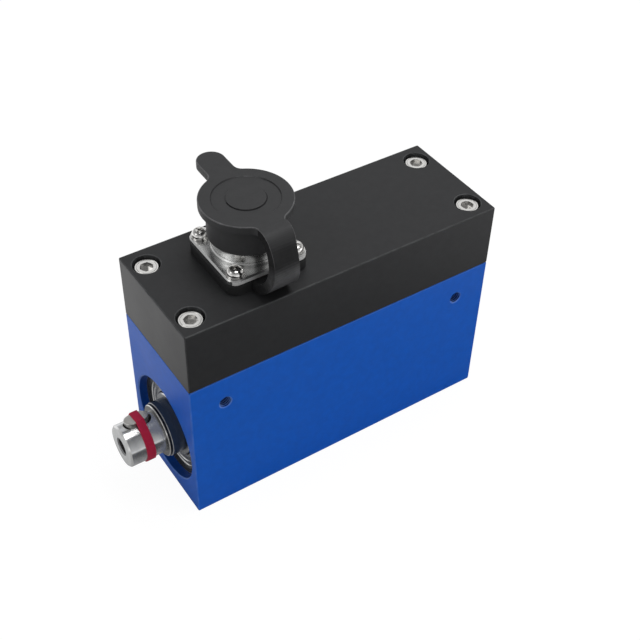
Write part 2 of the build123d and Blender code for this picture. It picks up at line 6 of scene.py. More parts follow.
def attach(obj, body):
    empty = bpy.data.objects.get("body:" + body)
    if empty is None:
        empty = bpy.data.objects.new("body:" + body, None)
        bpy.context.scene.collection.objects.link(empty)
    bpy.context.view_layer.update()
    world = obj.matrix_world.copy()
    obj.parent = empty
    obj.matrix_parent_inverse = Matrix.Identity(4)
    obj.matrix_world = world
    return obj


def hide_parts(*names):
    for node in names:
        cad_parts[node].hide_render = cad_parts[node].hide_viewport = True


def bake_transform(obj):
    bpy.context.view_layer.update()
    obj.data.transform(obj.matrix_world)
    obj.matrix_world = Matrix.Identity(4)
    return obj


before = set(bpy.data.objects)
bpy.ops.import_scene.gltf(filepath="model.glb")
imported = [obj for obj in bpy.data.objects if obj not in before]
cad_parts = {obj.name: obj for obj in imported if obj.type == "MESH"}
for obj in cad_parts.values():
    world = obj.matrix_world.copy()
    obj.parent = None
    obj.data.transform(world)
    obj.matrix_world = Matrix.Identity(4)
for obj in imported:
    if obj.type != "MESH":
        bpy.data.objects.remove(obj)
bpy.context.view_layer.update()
mm = 0.001
shaftAxis = (0, 0, 20.8)
print("stage: frame loaded")


# Selecting, adding and finishing a piece

def setMode(mode):
    bpy.ops.object.mode_set(mode=mode)


def deselectAll():
    if bpy.context.object and bpy.context.object.mode != "OBJECT":
        setMode("OBJECT")
    bpy.ops.object.select_all(action="DESELECT")


def pick(piece):
    deselectAll()
    piece.select_set(True)
    bpy.context.view_layer.objects.active = piece


def edit(piece, action="DESELECT"):
    pick(piece)
    setMode("EDIT")
    bpy.ops.mesh.select_mode(type="VERT")
    bpy.ops.mesh.select_all(action=action)


def swing(piece, degrees, axis, centre=(0, 0, 0), lift=0.0):  # turns a mesh about a point, then raises it
    edit(piece, "SELECT")
    bpy.ops.transform.rotate(value=math.radians(degrees), orient_axis=axis, center_override=centre)
    if lift:
        bpy.ops.transform.translate(value=(0, 0, lift * mm))
    setMode("OBJECT")


def chooseVertices(piece, isChosen):  # by place in mm; leaves the piece in edit mode
    edit(piece)
    setMode("OBJECT")
    for vertex in piece.data.vertices:
        vertex.select = isChosen(vertex.co / mm)
    for line in piece.data.edges:
        line.select = all(piece.data.vertices[n].select for n in line.vertices)
    setMode("EDIT")


def selectMesh():
    bpy.ops.mesh.select_all(action="SELECT")


def faceOutwards():
    selectMesh()
    bpy.ops.mesh.normals_make_consistent(inside=False)


def applyModifier(piece, kind, **values):
    pick(piece)
    step = piece.modifiers.new(kind.lower(), kind)
    for label, value in values.items():
        setattr(step, label, value)
    bpy.ops.object.modifier_apply(modifier=step.name)


def settle(piece, name):
    piece.name = name
    piece.data.name = name
    pick(piece)
    bpy.ops.object.transform_apply(location=True, rotation=True, scale=True)
    return piece


def addBlock(name, low, high):
    deselectAll()
    middle = [(a + b) / 2 * mm for a, b in zip(low, high)]
    size = [(b - a) * mm for a, b in zip(low, high)]
    bpy.ops.mesh.primitive_cube_add(size=1, location=middle, scale=size)
    return settle(bpy.context.object, name)


def addBar(name, radius, low, high, x=0.0, y=0.0, sides=64):  # an upright round bar
    deselectAll()
    place = (x * mm, y * mm, (low + high) / 2 * mm)
    bpy.ops.mesh.primitive_cylinder_add(vertices=sides, radius=radius * mm, depth=(high - low) * mm,
                                        location=place)
    return settle(bpy.context.object, name)


def drawPath(spots, closed=True):  # one vertex, extruded from spot to spot
    deselectAll()
    bpy.ops.mesh.primitive_plane_add(size=mm)
    piece = bpy.context.object
    setMode("EDIT")
    bpy.ops.mesh.select_mode(type="VERT")
    selectMesh()
    bpy.ops.mesh.merge(type="CENTER")
    spots = [Vector(spot) * mm for spot in spots]
    bpy.ops.transform.translate(value=spots[0])
    loop = spots[1:] + (spots[:1] if closed else [])
    for here, there in zip(spots, loop):
        bpy.ops.mesh.extrude_vertices_move(TRANSFORM_OT_translate={"value": there - here})
    selectMesh()
    bpy.ops.mesh.remove_doubles(threshold=1e-6)
    return piece


def turn(name, points, axis="X", centre=shaftAxis, steps=96, side=1):  # points are (along the axis, radius)
    points = [(side * along, radius) for along, radius in points]
    if axis == "X":
        spots = [(a + centre[0], centre[1], centre[2] + r) for a, r in points]
        direction = (1, 0, 0)
    else:
        spots = [(centre[0] + r, centre[1], centre[2] + a) for a, r in points]
        direction = (0, 0, 1)
    piece = drawPath(spots, closed=min(points[0][1], points[-1][1]) > 0)
    middle = [c * mm for c in centre]
    selectMesh()
    bpy.ops.mesh.spin(steps=steps, angle=math.tau, center=middle, axis=direction)
    selectMesh()
    bpy.ops.mesh.remove_doubles(threshold=2e-6)
    bpy.ops.mesh.delete_loose()
    faceOutwards()
    return settle(piece, name)


def raiseOutline(name, outline, low, high):  # a flat outline in X and Y, filled and extruded up
    piece = drawPath([(x, y, low) for x, y in outline])
    bpy.ops.mesh.edge_face_add()
    bpy.ops.mesh.extrude_region_move(TRANSFORM_OT_translate={"value": (0, 0, (high - low) * mm)})
    faceOutwards()
    return settle(piece, name)


def arc(x, y, radius, start, end, count):
    turns = [math.radians(start + (end - start) * k / count) for k in range(count + 1)]
    return [(x + radius * math.cos(t), y + radius * math.sin(t)) for t in turns]


def roundedRectangle(length, width, corner, x=0.0, y=0.0, count=8):
    outline = []
    for k, (sx, sy) in enumerate(((1, 1), (-1, 1), (-1, -1), (1, -1))):
        middle = (x + sx * (length / 2 - corner), y + sy * (width / 2 - corner))
        outline += arc(*middle, corner, 90 * k, 90 * k + 90, count)
    return outline


def combine(piece, other, operation="DIFFERENCE"):
    applyModifier(piece, "BOOLEAN", operation=operation, solver="EXACT", object=other)
    bpy.data.objects.remove(other)
    return piece


def breakEdges(piece, width, segments=1, angle=30):
    applyModifier(piece, "BEVEL", width=width * mm, segments=segments, limit_method="ANGLE",
                  angle_limit=math.radians(angle), use_clamp_overlap=True)


def markFaces(piece, strength, mask="edge"):  # one of three masks that the finishes read: "edge" for painted edge highlights, a second for painted shade, and "cast"
    layer = piece.data.color_attributes.new(mask, "FLOAT_COLOR", "CORNER")
    for face in piece.data.polygons:
        value = float(strength(face))
        for corner in face.loop_indices:
            layer.data[corner].color = (value, value, value, 1)


def slanted(face):
    return 0.25 < max(abs(c) for c in face.normal) < 0.96


def slantedAlongX(face):
    return 0.3 < abs(face.normal.x) < 0.95


def fromShaft(face):  # distance from the shaft's axis
    return math.hypot(face.center.y / mm, face.center.z / mm - shaftAxis[2])


def fromConnector(face):
    return math.hypot(face.center.x / mm - connectorX, face.center.y / mm)


def limit(value, low=0.0, high=1.0):
    return max(low, min(high, value))


def smooth(piece, angle=32):
    pick(piece)
    bpy.ops.object.shade_smooth_by_angle(angle=math.radians(angle))
    applyModifier(piece, "WEIGHTED_NORMAL", keep_sharp=True)
    return piece


def copyTo(piece, name, x, y):  # a copy with its own mesh, moved in X and Y
    other = piece.copy()
    other.data = piece.data.copy()
    bpy.context.scene.collection.objects.link(other)
    other.location = (x * mm, y * mm, 0)
    return settle(other, name)


def joinPieces(pieces, name):
    deselectAll()
    for piece in pieces:
        piece.select_set(True)
    bpy.context.view_layer.objects.active = pieces[0]
    bpy.ops.object.join()
    pieces[0].name = name
    pieces[0].data.name = name
    return pieces[0]


def dress(piece, finish, body, node):
    piece.data.materials.clear()
    piece.data.materials.append(finishes[finish])
    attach(piece, body)
    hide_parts(node)
    return piece


# Shader groups that several finishes share

def startGroup(name, inputs, outputs):
    tree = bpy.data.node_groups.new(name, "ShaderNodeTree")
    for label, kind, value in inputs:
        socket = tree.interface.new_socket(name=label, in_out="INPUT", socket_type=kind)
        socket.default_value = value
    for label, kind in outputs:
        tree.interface.new_socket(name=label, in_out="OUTPUT", socket_type=kind)
    return tree, tree.nodes.new("NodeGroupInput"), tree.nodes.new("NodeGroupOutput")


def setSocket(tree, socket, value):  # a constant, or a link from another node
    if isinstance(value, bpy.types.NodeSocket):
        tree.links.new(value, socket)
    else:
        socket.default_value = value


def addNode(tree, kind, **values):  # each value is a constant or a link
    node = tree.nodes.new("ShaderNode" + kind)
    for label, value in values.items():
        setSocket(tree, node.inputs[label.replace("_", " ")], value)
    return node


def addMath(tree, operation, *values, kind="ShaderNodeMath", output=0):
    node = tree.nodes.new(kind)
    node.operation = operation
    for socket, value in zip(node.inputs, values):
        setSocket(tree, socket, value)
    return node.outputs[output]


def addVector(tree, operation, *values, output=0):
    return addMath(tree, operation, *values, kind="ShaderNodeVectorMath", output=output)


def addNoise(tree, vector, scale, detail=3.0, roughness=0.5, dimensions="3D"):
    node = addNode(tree, "TexNoise", Vector=vector, Scale=scale, Detail=detail, Roughness=roughness)
    node.noise_dimensions = dimensions
    return node.outputs["Fac"]


def addRange(tree, value, fromLow, fromHigh, toLow, toHigh):
    limits = {"From_Min": fromLow, "From_Max": fromHigh, "To_Min": toLow, "To_Max": toHigh}
    return addNode(tree, "MapRange", Value=value, **limits).outputs["Result"]


def objectPlace(tree):
    return tree.nodes.new("ShaderNodeTexCoord").outputs["Object"]


def makeGrainGroup():  # bead blasted or moulded skin, the same in all directions
    tree, start, end = startGroup("fineGrain", [("Scale", "NodeSocketFloat", 900.0)],
                                  [("Height", "NodeSocketFloat"), ("Mottle", "NodeSocketFloat")])
    place, scale = objectPlace(tree), start.outputs["Scale"]
    tree.links.new(addNoise(tree, place, scale, 4.0, 0.6), end.inputs["Height"])
    broad = addMath(tree, "MULTIPLY", scale, 0.16)
    tree.links.new(addNoise(tree, place, broad, 4.0, 0.65), end.inputs["Mottle"])
    return tree


def makeTurnedGroup():  # rings left by a lathe or grinder on a piece turned about X
    tree, start, end = startGroup(
        "turnedLines", [("Centre", "NodeSocketVector", (0, 0, 0)), ("Density", "NodeSocketFloat", 3000.0)],
        [("Lines", "NodeSocketFloat"), ("Bands", "NodeSocketFloat")])
    density = start.outputs["Density"]
    place = addVector(tree, "SUBTRACT", objectPlace(tree), start.outputs["Centre"])
    along = addNode(tree, "SeparateXYZ", Vector=place).outputs["X"]
    radius = addVector(tree, "LENGTH", addVector(tree, "MULTIPLY", place, (0, 1, 1)), output="Value")
    pair = addNode(tree, "CombineXYZ", X=along, Y=radius).outputs[0]
    tree.links.new(addNoise(tree, pair, density, 3.0, 0.7, "2D"), end.inputs["Lines"])
    broad = addMath(tree, "MULTIPLY", density, 0.12)
    tree.links.new(addNoise(tree, pair, broad, 2.0, 0.5, "2D"), end.inputs["Bands"])
    return tree


def makeMaskGroup(name, mask, output, noise, span):  # one of the pieces' masks, made a little uneven
    tree, start, end = startGroup(name, [("Spread", "NodeSocketFloat", 1.0)], [(output, "NodeSocketFloat")])
    mark = tree.nodes.new("ShaderNodeAttribute")
    mark.attribute_name = mask
    patch = addRange(tree, addNoise(tree, objectPlace(tree), *noise), *span, 1.0)
    uneven = addMath(tree, "MULTIPLY", mark.outputs["Fac"], patch)
    tree.links.new(addMath(tree, "MULTIPLY", uneven, start.outputs["Spread"]), end.inputs[output])
    return tree


def makeSmudgeGroup():  # handling marks that only change the gloss
    tree, start, end = startGroup("handling", [("Scale", "NodeSocketFloat", 60.0)],
                                  [("Smudge", "NodeSocketFloat")])
    wide = addNoise(tree, objectPlace(tree), start.outputs["Scale"], 5.0, 0.6)
    tree.links.new(addRange(tree, wide, 0.35, 0.7, 0.0, 1.0), end.inputs["Smudge"])
    return tree


grainGroup = makeGrainGroup()
turnedGroup = makeTurnedGroup()
smudgeGroup = makeSmudgeGroup()
# painted edge highlights on the marked edges, uneven in patches
edgeHighlightGroup = makeMaskGroup("edgeWear", "edge", "Wear", (260.0, 4.0, 0.7), (0.35, 0.7, 0.35))
# painted shade in recesses and on faces turned from the light, uneven in patches
paintedShadeGroup = makeMaskGroup("paintedShades", "paintedShade", "PaintedShade", (320.0, 3.0, 0.6), (0.3, 0.7, 0.8))
castGroup = makeMaskGroup("castSkin", "cast", "Cast", (320.0, 3.0, 0.6), (0.3, 0.7, 0.8))


class Finish:  # a material under construction
    def __init__(self, name):
        self.material = bpy.data.materials.new(name)
        self.material.use_nodes = True
        self.tree = self.material.node_tree
        self.shader = self.tree.nodes["Principled BSDF"]

    def group(self, tree, **values):
        node = self.tree.nodes.new("ShaderNodeGroup")
        node.node_tree = tree
        for label, value in values.items():
            node.inputs[label].default_value = value
        return node.outputs

    def plain(self, **values):
        for label, value in values.items():
            self.shader.inputs[label.replace("_", " ")].default_value = value

    def blend(self, amount, first, second):
        node = self.tree.nodes.new("ShaderNodeMix")
        node.data_type = "RGBA"
        self.tree.links.new(amount, node.inputs["Factor"])
        for label, value in (("A", first), ("B", second)):
            socket = [one for one in node.inputs if one.name == label and one.type == "RGBA"][0]
            setSocket(self.tree, socket, (*value, 1.0) if isinstance(value, tuple) else value)
        return [one for one in node.outputs if one.type == "RGBA"][0]

    def feed(self, label, source):
        self.tree.links.new(source, self.shader.inputs[label])

    def bump(self, height, strength, distance):
        node = addNode(self.tree, "Bump", Strength=strength, Distance=distance, Height=height)
        self.feed("Normal", node.outputs["Normal"])


def makeFinish(name, look):  # two tones, then what the look holds: lathe lines, painted shade, painted edge highlights, a painted sheen seen in mirrors, cast skin
    finish = Finish(name)
    tree = finish.tree
    if "density" in look:
        skin = finish.group(turnedGroup, Centre=look["centre"], Density=look["density"])
        tone, height = addRange(tree, skin["Bands"], 0.3, 0.7, 0.0, 1.0), skin["Lines"]
    else:
        skin = finish.group(grainGroup, Scale=look["grain"])
        tone, height = skin["Mottle"], skin["Height"]
    smudge = finish.group(smudgeGroup, Scale=look["smudgeScale"])["Smudge"]
    body = finish.blend(tone, look["dark"], look["light"])
    rough = addMath(tree, "MULTIPLY_ADD", smudge, look["smudge"], look["roughness"])
    if "density" in look:
        rough = addMath(tree, "MULTIPLY_ADD", height, look["lineRoughness"], rough)
    # painted shade: darker colour and more roughness where the shade mask is set
    if "paintedShade" in look:
        shade = finish.group(paintedShadeGroup, Spread=1.0)["PaintedShade"]
        body = finish.blend(shade, body, look["paintedShade"])
        rough = addMath(tree, "MULTIPLY_ADD", shade, look.get("paintedShadeRoughness", 0.0), rough)
    # painted edge highlights: paler colour where the edge mask is set
    if "edge" in look:
        body = finish.blend(finish.group(edgeHighlightGroup, Spread=look["highlightSpread"])["Wear"], body, look["edge"])
    if "paintedSheen" in look:  # a painted sheen: paler colour in glossy rays only, the sheen that a mirror close to the face shows
        glossy = tree.nodes.new("ShaderNodeLightPath").outputs["Is Glossy Ray"]
        body = finish.blend(addMath(tree, "MULTIPLY", glossy, 0.75), body, look["paintedSheen"])
    finish.plain(Metallic=look["metallic"], Specular_IOR_Level=look["specular"])
    if "cast" in look:  # unmachined walls: dull, coarse and paler than their mirror image
        cast = finish.group(castGroup, Spread=1.0)["Cast"]
        rough = addMath(tree, "MULTIPLY_ADD", cast, look["cast"], rough)
        coarse = finish.group(grainGroup, Scale=look["grain"] * 0.35)["Height"]
        height = addMath(tree, "MULTIPLY_ADD", addMath(tree, "MULTIPLY", coarse, cast), 5.0, height)
        finish.feed("Metallic", addMath(tree, "MULTIPLY_ADD", cast, -0.85, 1.0))
    finish.feed("Base Color", body)
    finish.feed("Roughness", rough)
    finish.bump(height, look["bump"], look["relief"])
    return finish.material


def printedBoard(name, look):  # solder mask with copper tracks showing through it
    finish = Finish(name)
    grain = finish.group(grainGroup, Scale=2400.0)
    smudge = finish.group(smudgeGroup, Scale=80.0)
    tree, pitch = finish.tree, look["pitch"]
    cells = addNode(tree, "TexBrick", Vector=objectPlace(tree), Scale=1.0, Brick_Width=pitch * 5,
                    Row_Height=pitch, Mortar_Size=pitch * 0.12)
    body = finish.blend(grain["Mottle"], look["dark"], look["light"])
    finish.feed("Base Color", finish.blend(cells.outputs["Fac"], body, look["copper"]))
    finish.feed("Roughness", addMath(tree, "MULTIPLY_ADD", smudge["Smudge"], 0.1, look["roughness"]))
    finish.bump(cells.outputs["Fac"], 0.3, 0.00004)
    finish.plain(Metallic=0.0, Specular_IOR_Level=look["specular"])
    return finish.material


# in the looks, each "edge" colour is a painted highlight for marked edges, each darker shade colour is painted
# shade for marked recesses, and the sheen colour is a painted reflection seen in mirrors
anodised = {"grain": 2600.0, "smudgeScale": 45.0, "smudge": 0.06, "bump": 0.14, "relief": 0.00006,
            "metallic": 0.0, "specular": 0.2}
turned = {"centre": (0, 0, 0.0208), "density": 2600.0, "edge": (0.9, 0.9, 0.89),
          "paintedShade": (0.06, 0.06, 0.065), "highlightSpread": 0.8, "smudgeScale": 90.0, "smudge": 0.05,
          "lineRoughness": 0.03, "bump": 0.14, "relief": 0.00006, "metallic": 1.0, "specular": 0.5}
fineTurned = {**turned, "density": 7000.0, "roughness": 0.2, "lineRoughness": 0.1, "bump": 0.1}
plated = {"highlightSpread": 0.6, "smudgeScale": 120.0, "relief": 0.00005, "metallic": 1.0, "specular": 0.5}
screwMetal = {**plated, "grain": 1800.0, "paintedShade": (0.08, 0.08, 0.085), "smudge": 0.08, "roughness": 0.13,
              "bump": 0.08}
moulded = {"grain": 3000.0, "smudgeScale": 70.0, "smudge": 0.1, "bump": 0.1, "relief": 0.00008,
           "metallic": 0.0, "specular": 0.5}
rubber = {**moulded, "edge": (0.17, 0.17, 0.175), "paintedShade": (0.006, 0.006, 0.0065), "paintedShadeRoughness": 0.4,
          "grain": 2400.0, "bump": 0.22, "specular": 0.25}
looks = {
    "blueAnodised": {**anodised, "dark": (0.003, 0.104, 0.55), "light": (0.004, 0.142, 0.74),
                     "edge": (0.2, 0.36, 0.85), "paintedShade": (0.003, 0.012, 0.1), "paintedSheen": (0.3, 0.31, 0.33),
                     "highlightSpread": 0.85, "roughness": 0.4},
    "blackAnodised": {**anodised, "dark": (0.028, 0.0285, 0.03), "light": (0.039, 0.0395, 0.0415),
                      "edge": (0.15, 0.155, 0.16), "highlightSpread": 0.8, "roughness": 0.38},
    "groundSteel": {**turned, "dark": (0.62, 0.63, 0.64), "light": (0.76, 0.77, 0.77), "relief": 0.0001,
                    "roughness": 0.12, "metallic": 0.75},
    "blackSteel": {**turned, "dark": (0.03, 0.05, 0.1), "light": (0.046, 0.07, 0.13),
                   "edge": (0.62, 0.63, 0.64), "highlightSpread": 1.0, "roughness": 0.17, "metallic": 0.0},
    "bearingSteel": {**fineTurned, "dark": (0.05, 0.055, 0.065), "light": (0.1, 0.105, 0.12),
                     "edge": (0.9, 0.9, 0.9), "highlightSpread": 1.0},
    "pressedSteel": {**turned, "density": 1500.0, "dark": (0.2, 0.21, 0.23), "light": (0.5, 0.52, 0.54),
                     "edge": (0.95, 0.95, 0.95), "highlightSpread": 1.0, "roughness": 0.24, "bump": 0.25},
    "raceSteel": {**fineTurned, "dark": (0.2, 0.21, 0.22), "light": (0.3, 0.31, 0.33)},
    "springSteel": {**turned, "dark": (0.04, 0.04, 0.045), "light": (0.08, 0.08, 0.085),
                    "edge": (0.95, 0.95, 0.94), "highlightSpread": 1.0, "roughness": 0.14},
    "copperCoil": {**turned, "density": 1500.0, "dark": (0.3, 0.09, 0.03), "light": (0.72, 0.3, 0.12),
                   "edge": (0.8, 0.4, 0.2), "roughness": 0.25, "bump": 0.9},
    "stainless": {**screwMetal, "dark": (0.8, 0.79, 0.77), "light": (0.92, 0.91, 0.89),
                  "edge": (0.98, 0.98, 0.96)},
    "goldPlate": {**screwMetal, "dark": (0.72, 0.48, 0.14), "light": (0.86, 0.6, 0.22),
                  "edge": (0.95, 0.75, 0.35)},
    "brass": {**screwMetal, "dark": (0.5, 0.34, 0.12), "light": (0.66, 0.46, 0.18), "edge": (0.85, 0.65, 0.3),
              "roughness": 0.26},
    "drawnSteel": {**plated, "dark": (0.5, 0.49, 0.47), "light": (0.68, 0.67, 0.65),
                   "edge": (0.85, 0.85, 0.83), "grain": 2200.0, "smudge": 0.12, "roughness": 0.24,
                   "bump": 0.15},
    "satinNickel": {**plated, "dark": (0.68, 0.685, 0.685), "light": (0.79, 0.795, 0.79),
                    "edge": (1.0, 1.0, 0.98), "paintedShade": (0.05, 0.05, 0.05), "cast": 0.3, "grain": 3200.0,
                    "smudge": 0.03, "roughness": 0.24, "bump": 0.1},
    "capRubber": {**rubber, "dark": (0.038, 0.0385, 0.04), "light": (0.05, 0.0505, 0.0525), "highlightSpread": 0.8,
                  "roughness": 0.5},
    "padRubber": {**rubber, "dark": (0.018, 0.0185, 0.019), "light": (0.026, 0.0265, 0.0275), "highlightSpread": 0.0,
                  "roughness": 0.6},
    "redRubber": {**moulded, "dark": (0.54, 0.015, 0.055), "light": (0.68, 0.024, 0.08), "grain": 2600.0,
                  "roughness": 0.5, "bump": 0.2, "specular": 0.2},
    "ferrite": {**moulded, "dark": (0.05, 0.05, 0.052), "light": (0.085, 0.085, 0.088), "grain": 1700.0,
                "smudge": 0.12, "roughness": 0.62, "bump": 0.4, "specular": 0.4},
    "blackMould": {**moulded, "dark": (0.012, 0.012, 0.013), "light": (0.02, 0.02, 0.021), "roughness": 0.45,
                   "bump": 0.15},
    "amberFilm": {**moulded, "dark": (0.42, 0.2, 0.03), "light": (0.58, 0.3, 0.06), "grain": 5000.0,
                  "roughness": 0.32},
    "wireCover": {**moulded, "dark": (0.4, 0.03, 0.02), "light": (0.5, 0.05, 0.03), "roughness": 0.42}}
boardLook = {"dark": (0.006, 0.07, 0.025), "light": (0.012, 0.13, 0.05), "copper": (0.02, 0.2, 0.07),
             "pitch": 0.00127, "roughness": 0.34, "specular": 0.5}
finishes = {name: makeFinish(name, look) for name, look in looks.items()}
finishes["greenBoard"] = printedBoard("greenBoard", boardLook)
print("stage: finishes made")


# Housing

housing = {"length": 109.0, "width": 40.0, "height": 54.0, "edge": 0.4, "seat": 17.5, "seatDepth": 13.7,
           "springRoom": 1.5, "mouth": 0.35, "chamber": 15.0,
           "pocket": (76.0, 24.0, 3.0), "pocketFloor": 33.0,
           "grooveOut": (89.8, 35.8, 5.9), "grooveIn": (86.2, 32.2, 4.1), "grooveDepth": 1.2,
           "sideHoleX": 42.9, "sideHoleZ": 44.0, "screwHole": 2.0, "screwHoleFloor": 43.7, "boreReach": 18.3,
           "wallReach": 17.6, "wallShade": 0.5, "holeReach": 2.4, "holeSide": -12, "edgeShare": 0.35}
sideTap = {"core": 1.92, "crest": 2.15, "pitch": 0.7, "depth": 8.0, "mouth": 2.26}
halfLength = housing["length"] / 2
screwSpots = [(sx * 48.9, sy * 13.2) for sx in (-1, 1) for sy in (-1, 1)]


def threadedDrill(name, axis, core, crest, pitch, depth, mouth):  # a tap's shape at the origin, for cutting
    along = mouth - crest
    points = [(-1.0, 0.0), (-1.0, mouth), (0.0, mouth), (along, crest)]
    while along + pitch < depth:
        points += [(along + pitch * 0.25, core), (along + pitch, crest)]
        along += pitch
    points += [(depth, core), (depth + core * 0.58, 0.0)]
    return turn(name, points, axis, (0, 0, 0), steps=32)


def makeHousing(v):
    half = v["length"] / 2
    block = addBlock("housingBlock", (-half, -v["width"] / 2, 0), (half, v["width"] / 2, v["height"]))
    breakEdges(block, v["edge"], 2)
    seat, mouth, inner = v["seat"], v["mouth"], half - v["seatDepth"]
    right = inner - v["springRoom"]
    bore = [(-half - 1, 0), (-half - 1, seat + mouth), (-half, seat + mouth), (-half + mouth, seat),
            (-inner, seat), (-inner, v["chamber"]), (right, v["chamber"]), (right, seat), (half - mouth, seat),
            (half, seat + mouth), (half + 1, seat + mouth), (half + 1, 0)]
    combine(block, turn("boreCutter", bore, steps=128))
    high = v["height"]
    combine(block, raiseOutline("pocketCutter", roundedRectangle(*v["pocket"]), v["pocketFloor"], high + 1))
    outline = roundedRectangle(*v["grooveOut"])
    groove = raiseOutline("grooveCutter", outline, high - v["grooveDepth"], high + 1)
    combine(groove, raiseOutline("grooveCore", roundedRectangle(*v["grooveIn"]), high - 2, high + 2))
    combine(block, groove)
    for k, (x, y) in enumerate(screwSpots):
        combine(block, addBar(f"screwDrill{k}", v["screwHole"], v["screwHoleFloor"], high + 1, x, y, 32))
    for side in (-1, 1):
        drill = threadedDrill("sideDrill", "Z", **sideTap)
        place = Matrix.Translation(Vector((side * v["sideHoleX"], -v["width"] / 2, v["sideHoleZ"])) * mm)
        drill.matrix_world = place @ Matrix.Rotation(-math.pi / 2, 4, "X")
        combine(block, settle(drill, "sideDrill"))
    markFaces(block, onHousingEdge)
    markFaces(block, inHousingHole, "paintedShade")
    return dress(smooth(block), "blueAnodised", "stator", "housing")


def onHousingEdge(face):  # painted highlight on chamfers and the outward thread flanks, not on the round walls of the bore, pocket and holes
    if fromShaft(face) < housing["boreReach"]:
        return slantedAlongX(face)
    straight = any(abs(c) < 0.02 for c in face.normal)
    return 1.0 if slantedInHole(face) else housing["edgeShare"] * (slanted(face) and straight)


def inSideHole(face):
    x, y, z = face.center / mm
    off = max(abs(z - housing["sideHoleZ"]), abs(abs(x) - housing["sideHoleX"]))
    return y < housing["holeSide"] and off < housing["holeReach"]


def slantedInHole(face):  # the mouth and the thread flanks that face outwards
    return inSideHole(face) and -0.97 < face.normal.y < -0.25


def inHousingHole(face):  # painted shade: dark in the tapped holes, half dark on the bores' walls
    if inSideHole(face) and abs(face.normal.y) < 0.95:
        return not slantedInHole(face)
    return housing["wallShade"] * (fromShaft(face) < housing["wallReach"] and abs(face.normal.x) < 0.3)


makeHousing(housing)
print("stage: housing")


# Cover and its screws

cover = {"high": 76.0, "edge": 0.4, "pocket": (84.0, 30.0, 3.0),
         "roof": 71.0, "screwHole": 2.25, "counterbore": 4.2, "counterboreFloor": 70.7, "rim": 0.22,
         "connectorHole": 9.65, "flangeDrill": 1.25, "rimReach": 4.6, "rimHigh": 0.3, "edgeShare": 0.4}
connectorX = -22.6
flangeSpots = [(connectorX + sx * 10, sy * 10) for sx in (-1, 1) for sy in (-1, 1)]


def makeCover(v):
    low, top, side = housing["height"], v["high"], housing["width"] / 2
    block = addBlock("coverBlock", (-halfLength, -side, low), (halfLength, side, top))
    breakEdges(block, v["edge"], 2)
    combine(block, raiseOutline("roomCutter", roundedRectangle(*v["pocket"]), low - 1, v["roof"]))
    combine(block, addBar("connectorCutter", v["connectorHole"], v["roof"] - 1, top + 1, connectorX, 0, 64))
    floor, hole, wide, rim = v["counterboreFloor"], v["screwHole"], v["counterbore"], v["rim"]
    points = [(low - 1, 0), (low - 1, hole), (floor, hole), (floor, wide), (top - rim, wide),
              (top, wide + rim), (top + 1, wide + rim), (top + 1, 0)]
    for k, (x, y) in enumerate(screwSpots):
        combine(block, turn(f"counterbore{k}", points, "Z", (x, y, 0), 64))
    for k, (x, y) in enumerate(flangeSpots):
        combine(block, addBar(f"flangeDrill{k}", v["flangeDrill"], v["roof"] - 1, top + 1, x, y, 24))
    markFaces(block, onCoverEdge)
    return dress(smooth(block), "blackAnodised", "stator", "cover")


def onCoverEdge(face):  # painted highlight on the counterbores' rims, and on the outer edges at less strength
    x, y, z = face.center / mm
    nearScrew = z > cover["high"] - cover["rimHigh"] and abs(abs(x) - screwSpots[-1][0]) < cover["rimReach"]
    if nearScrew and 0.3 < face.normal.z < 0.95:
        return True
    return cover["edgeShare"] * (slanted(face) and min(abs(c) for c in face.normal) < 0.02)


capScrew = {"head": 3.7, "top": 74.9, "seat": 70.7, "shank": 1.98, "tip": 45.7, "edge": 0.3, "socket": 1.85,
            "socketDepth": 1.7, "countersink": 1.95, "line": 2.95, "lineDepth": 0.06, "lineHalf": 0.07,
            "knurls": 36, "knurlDepth": 0.07, "turns": (8, 31, 50, 17), "tipEdge": 0.4, "rimFrom": 3.2,
            "rimDeep": 0.7, "lineShade": 0.2, "socketReach": 2.3, "wallShades": (0.8, 0.0, 0.4)}


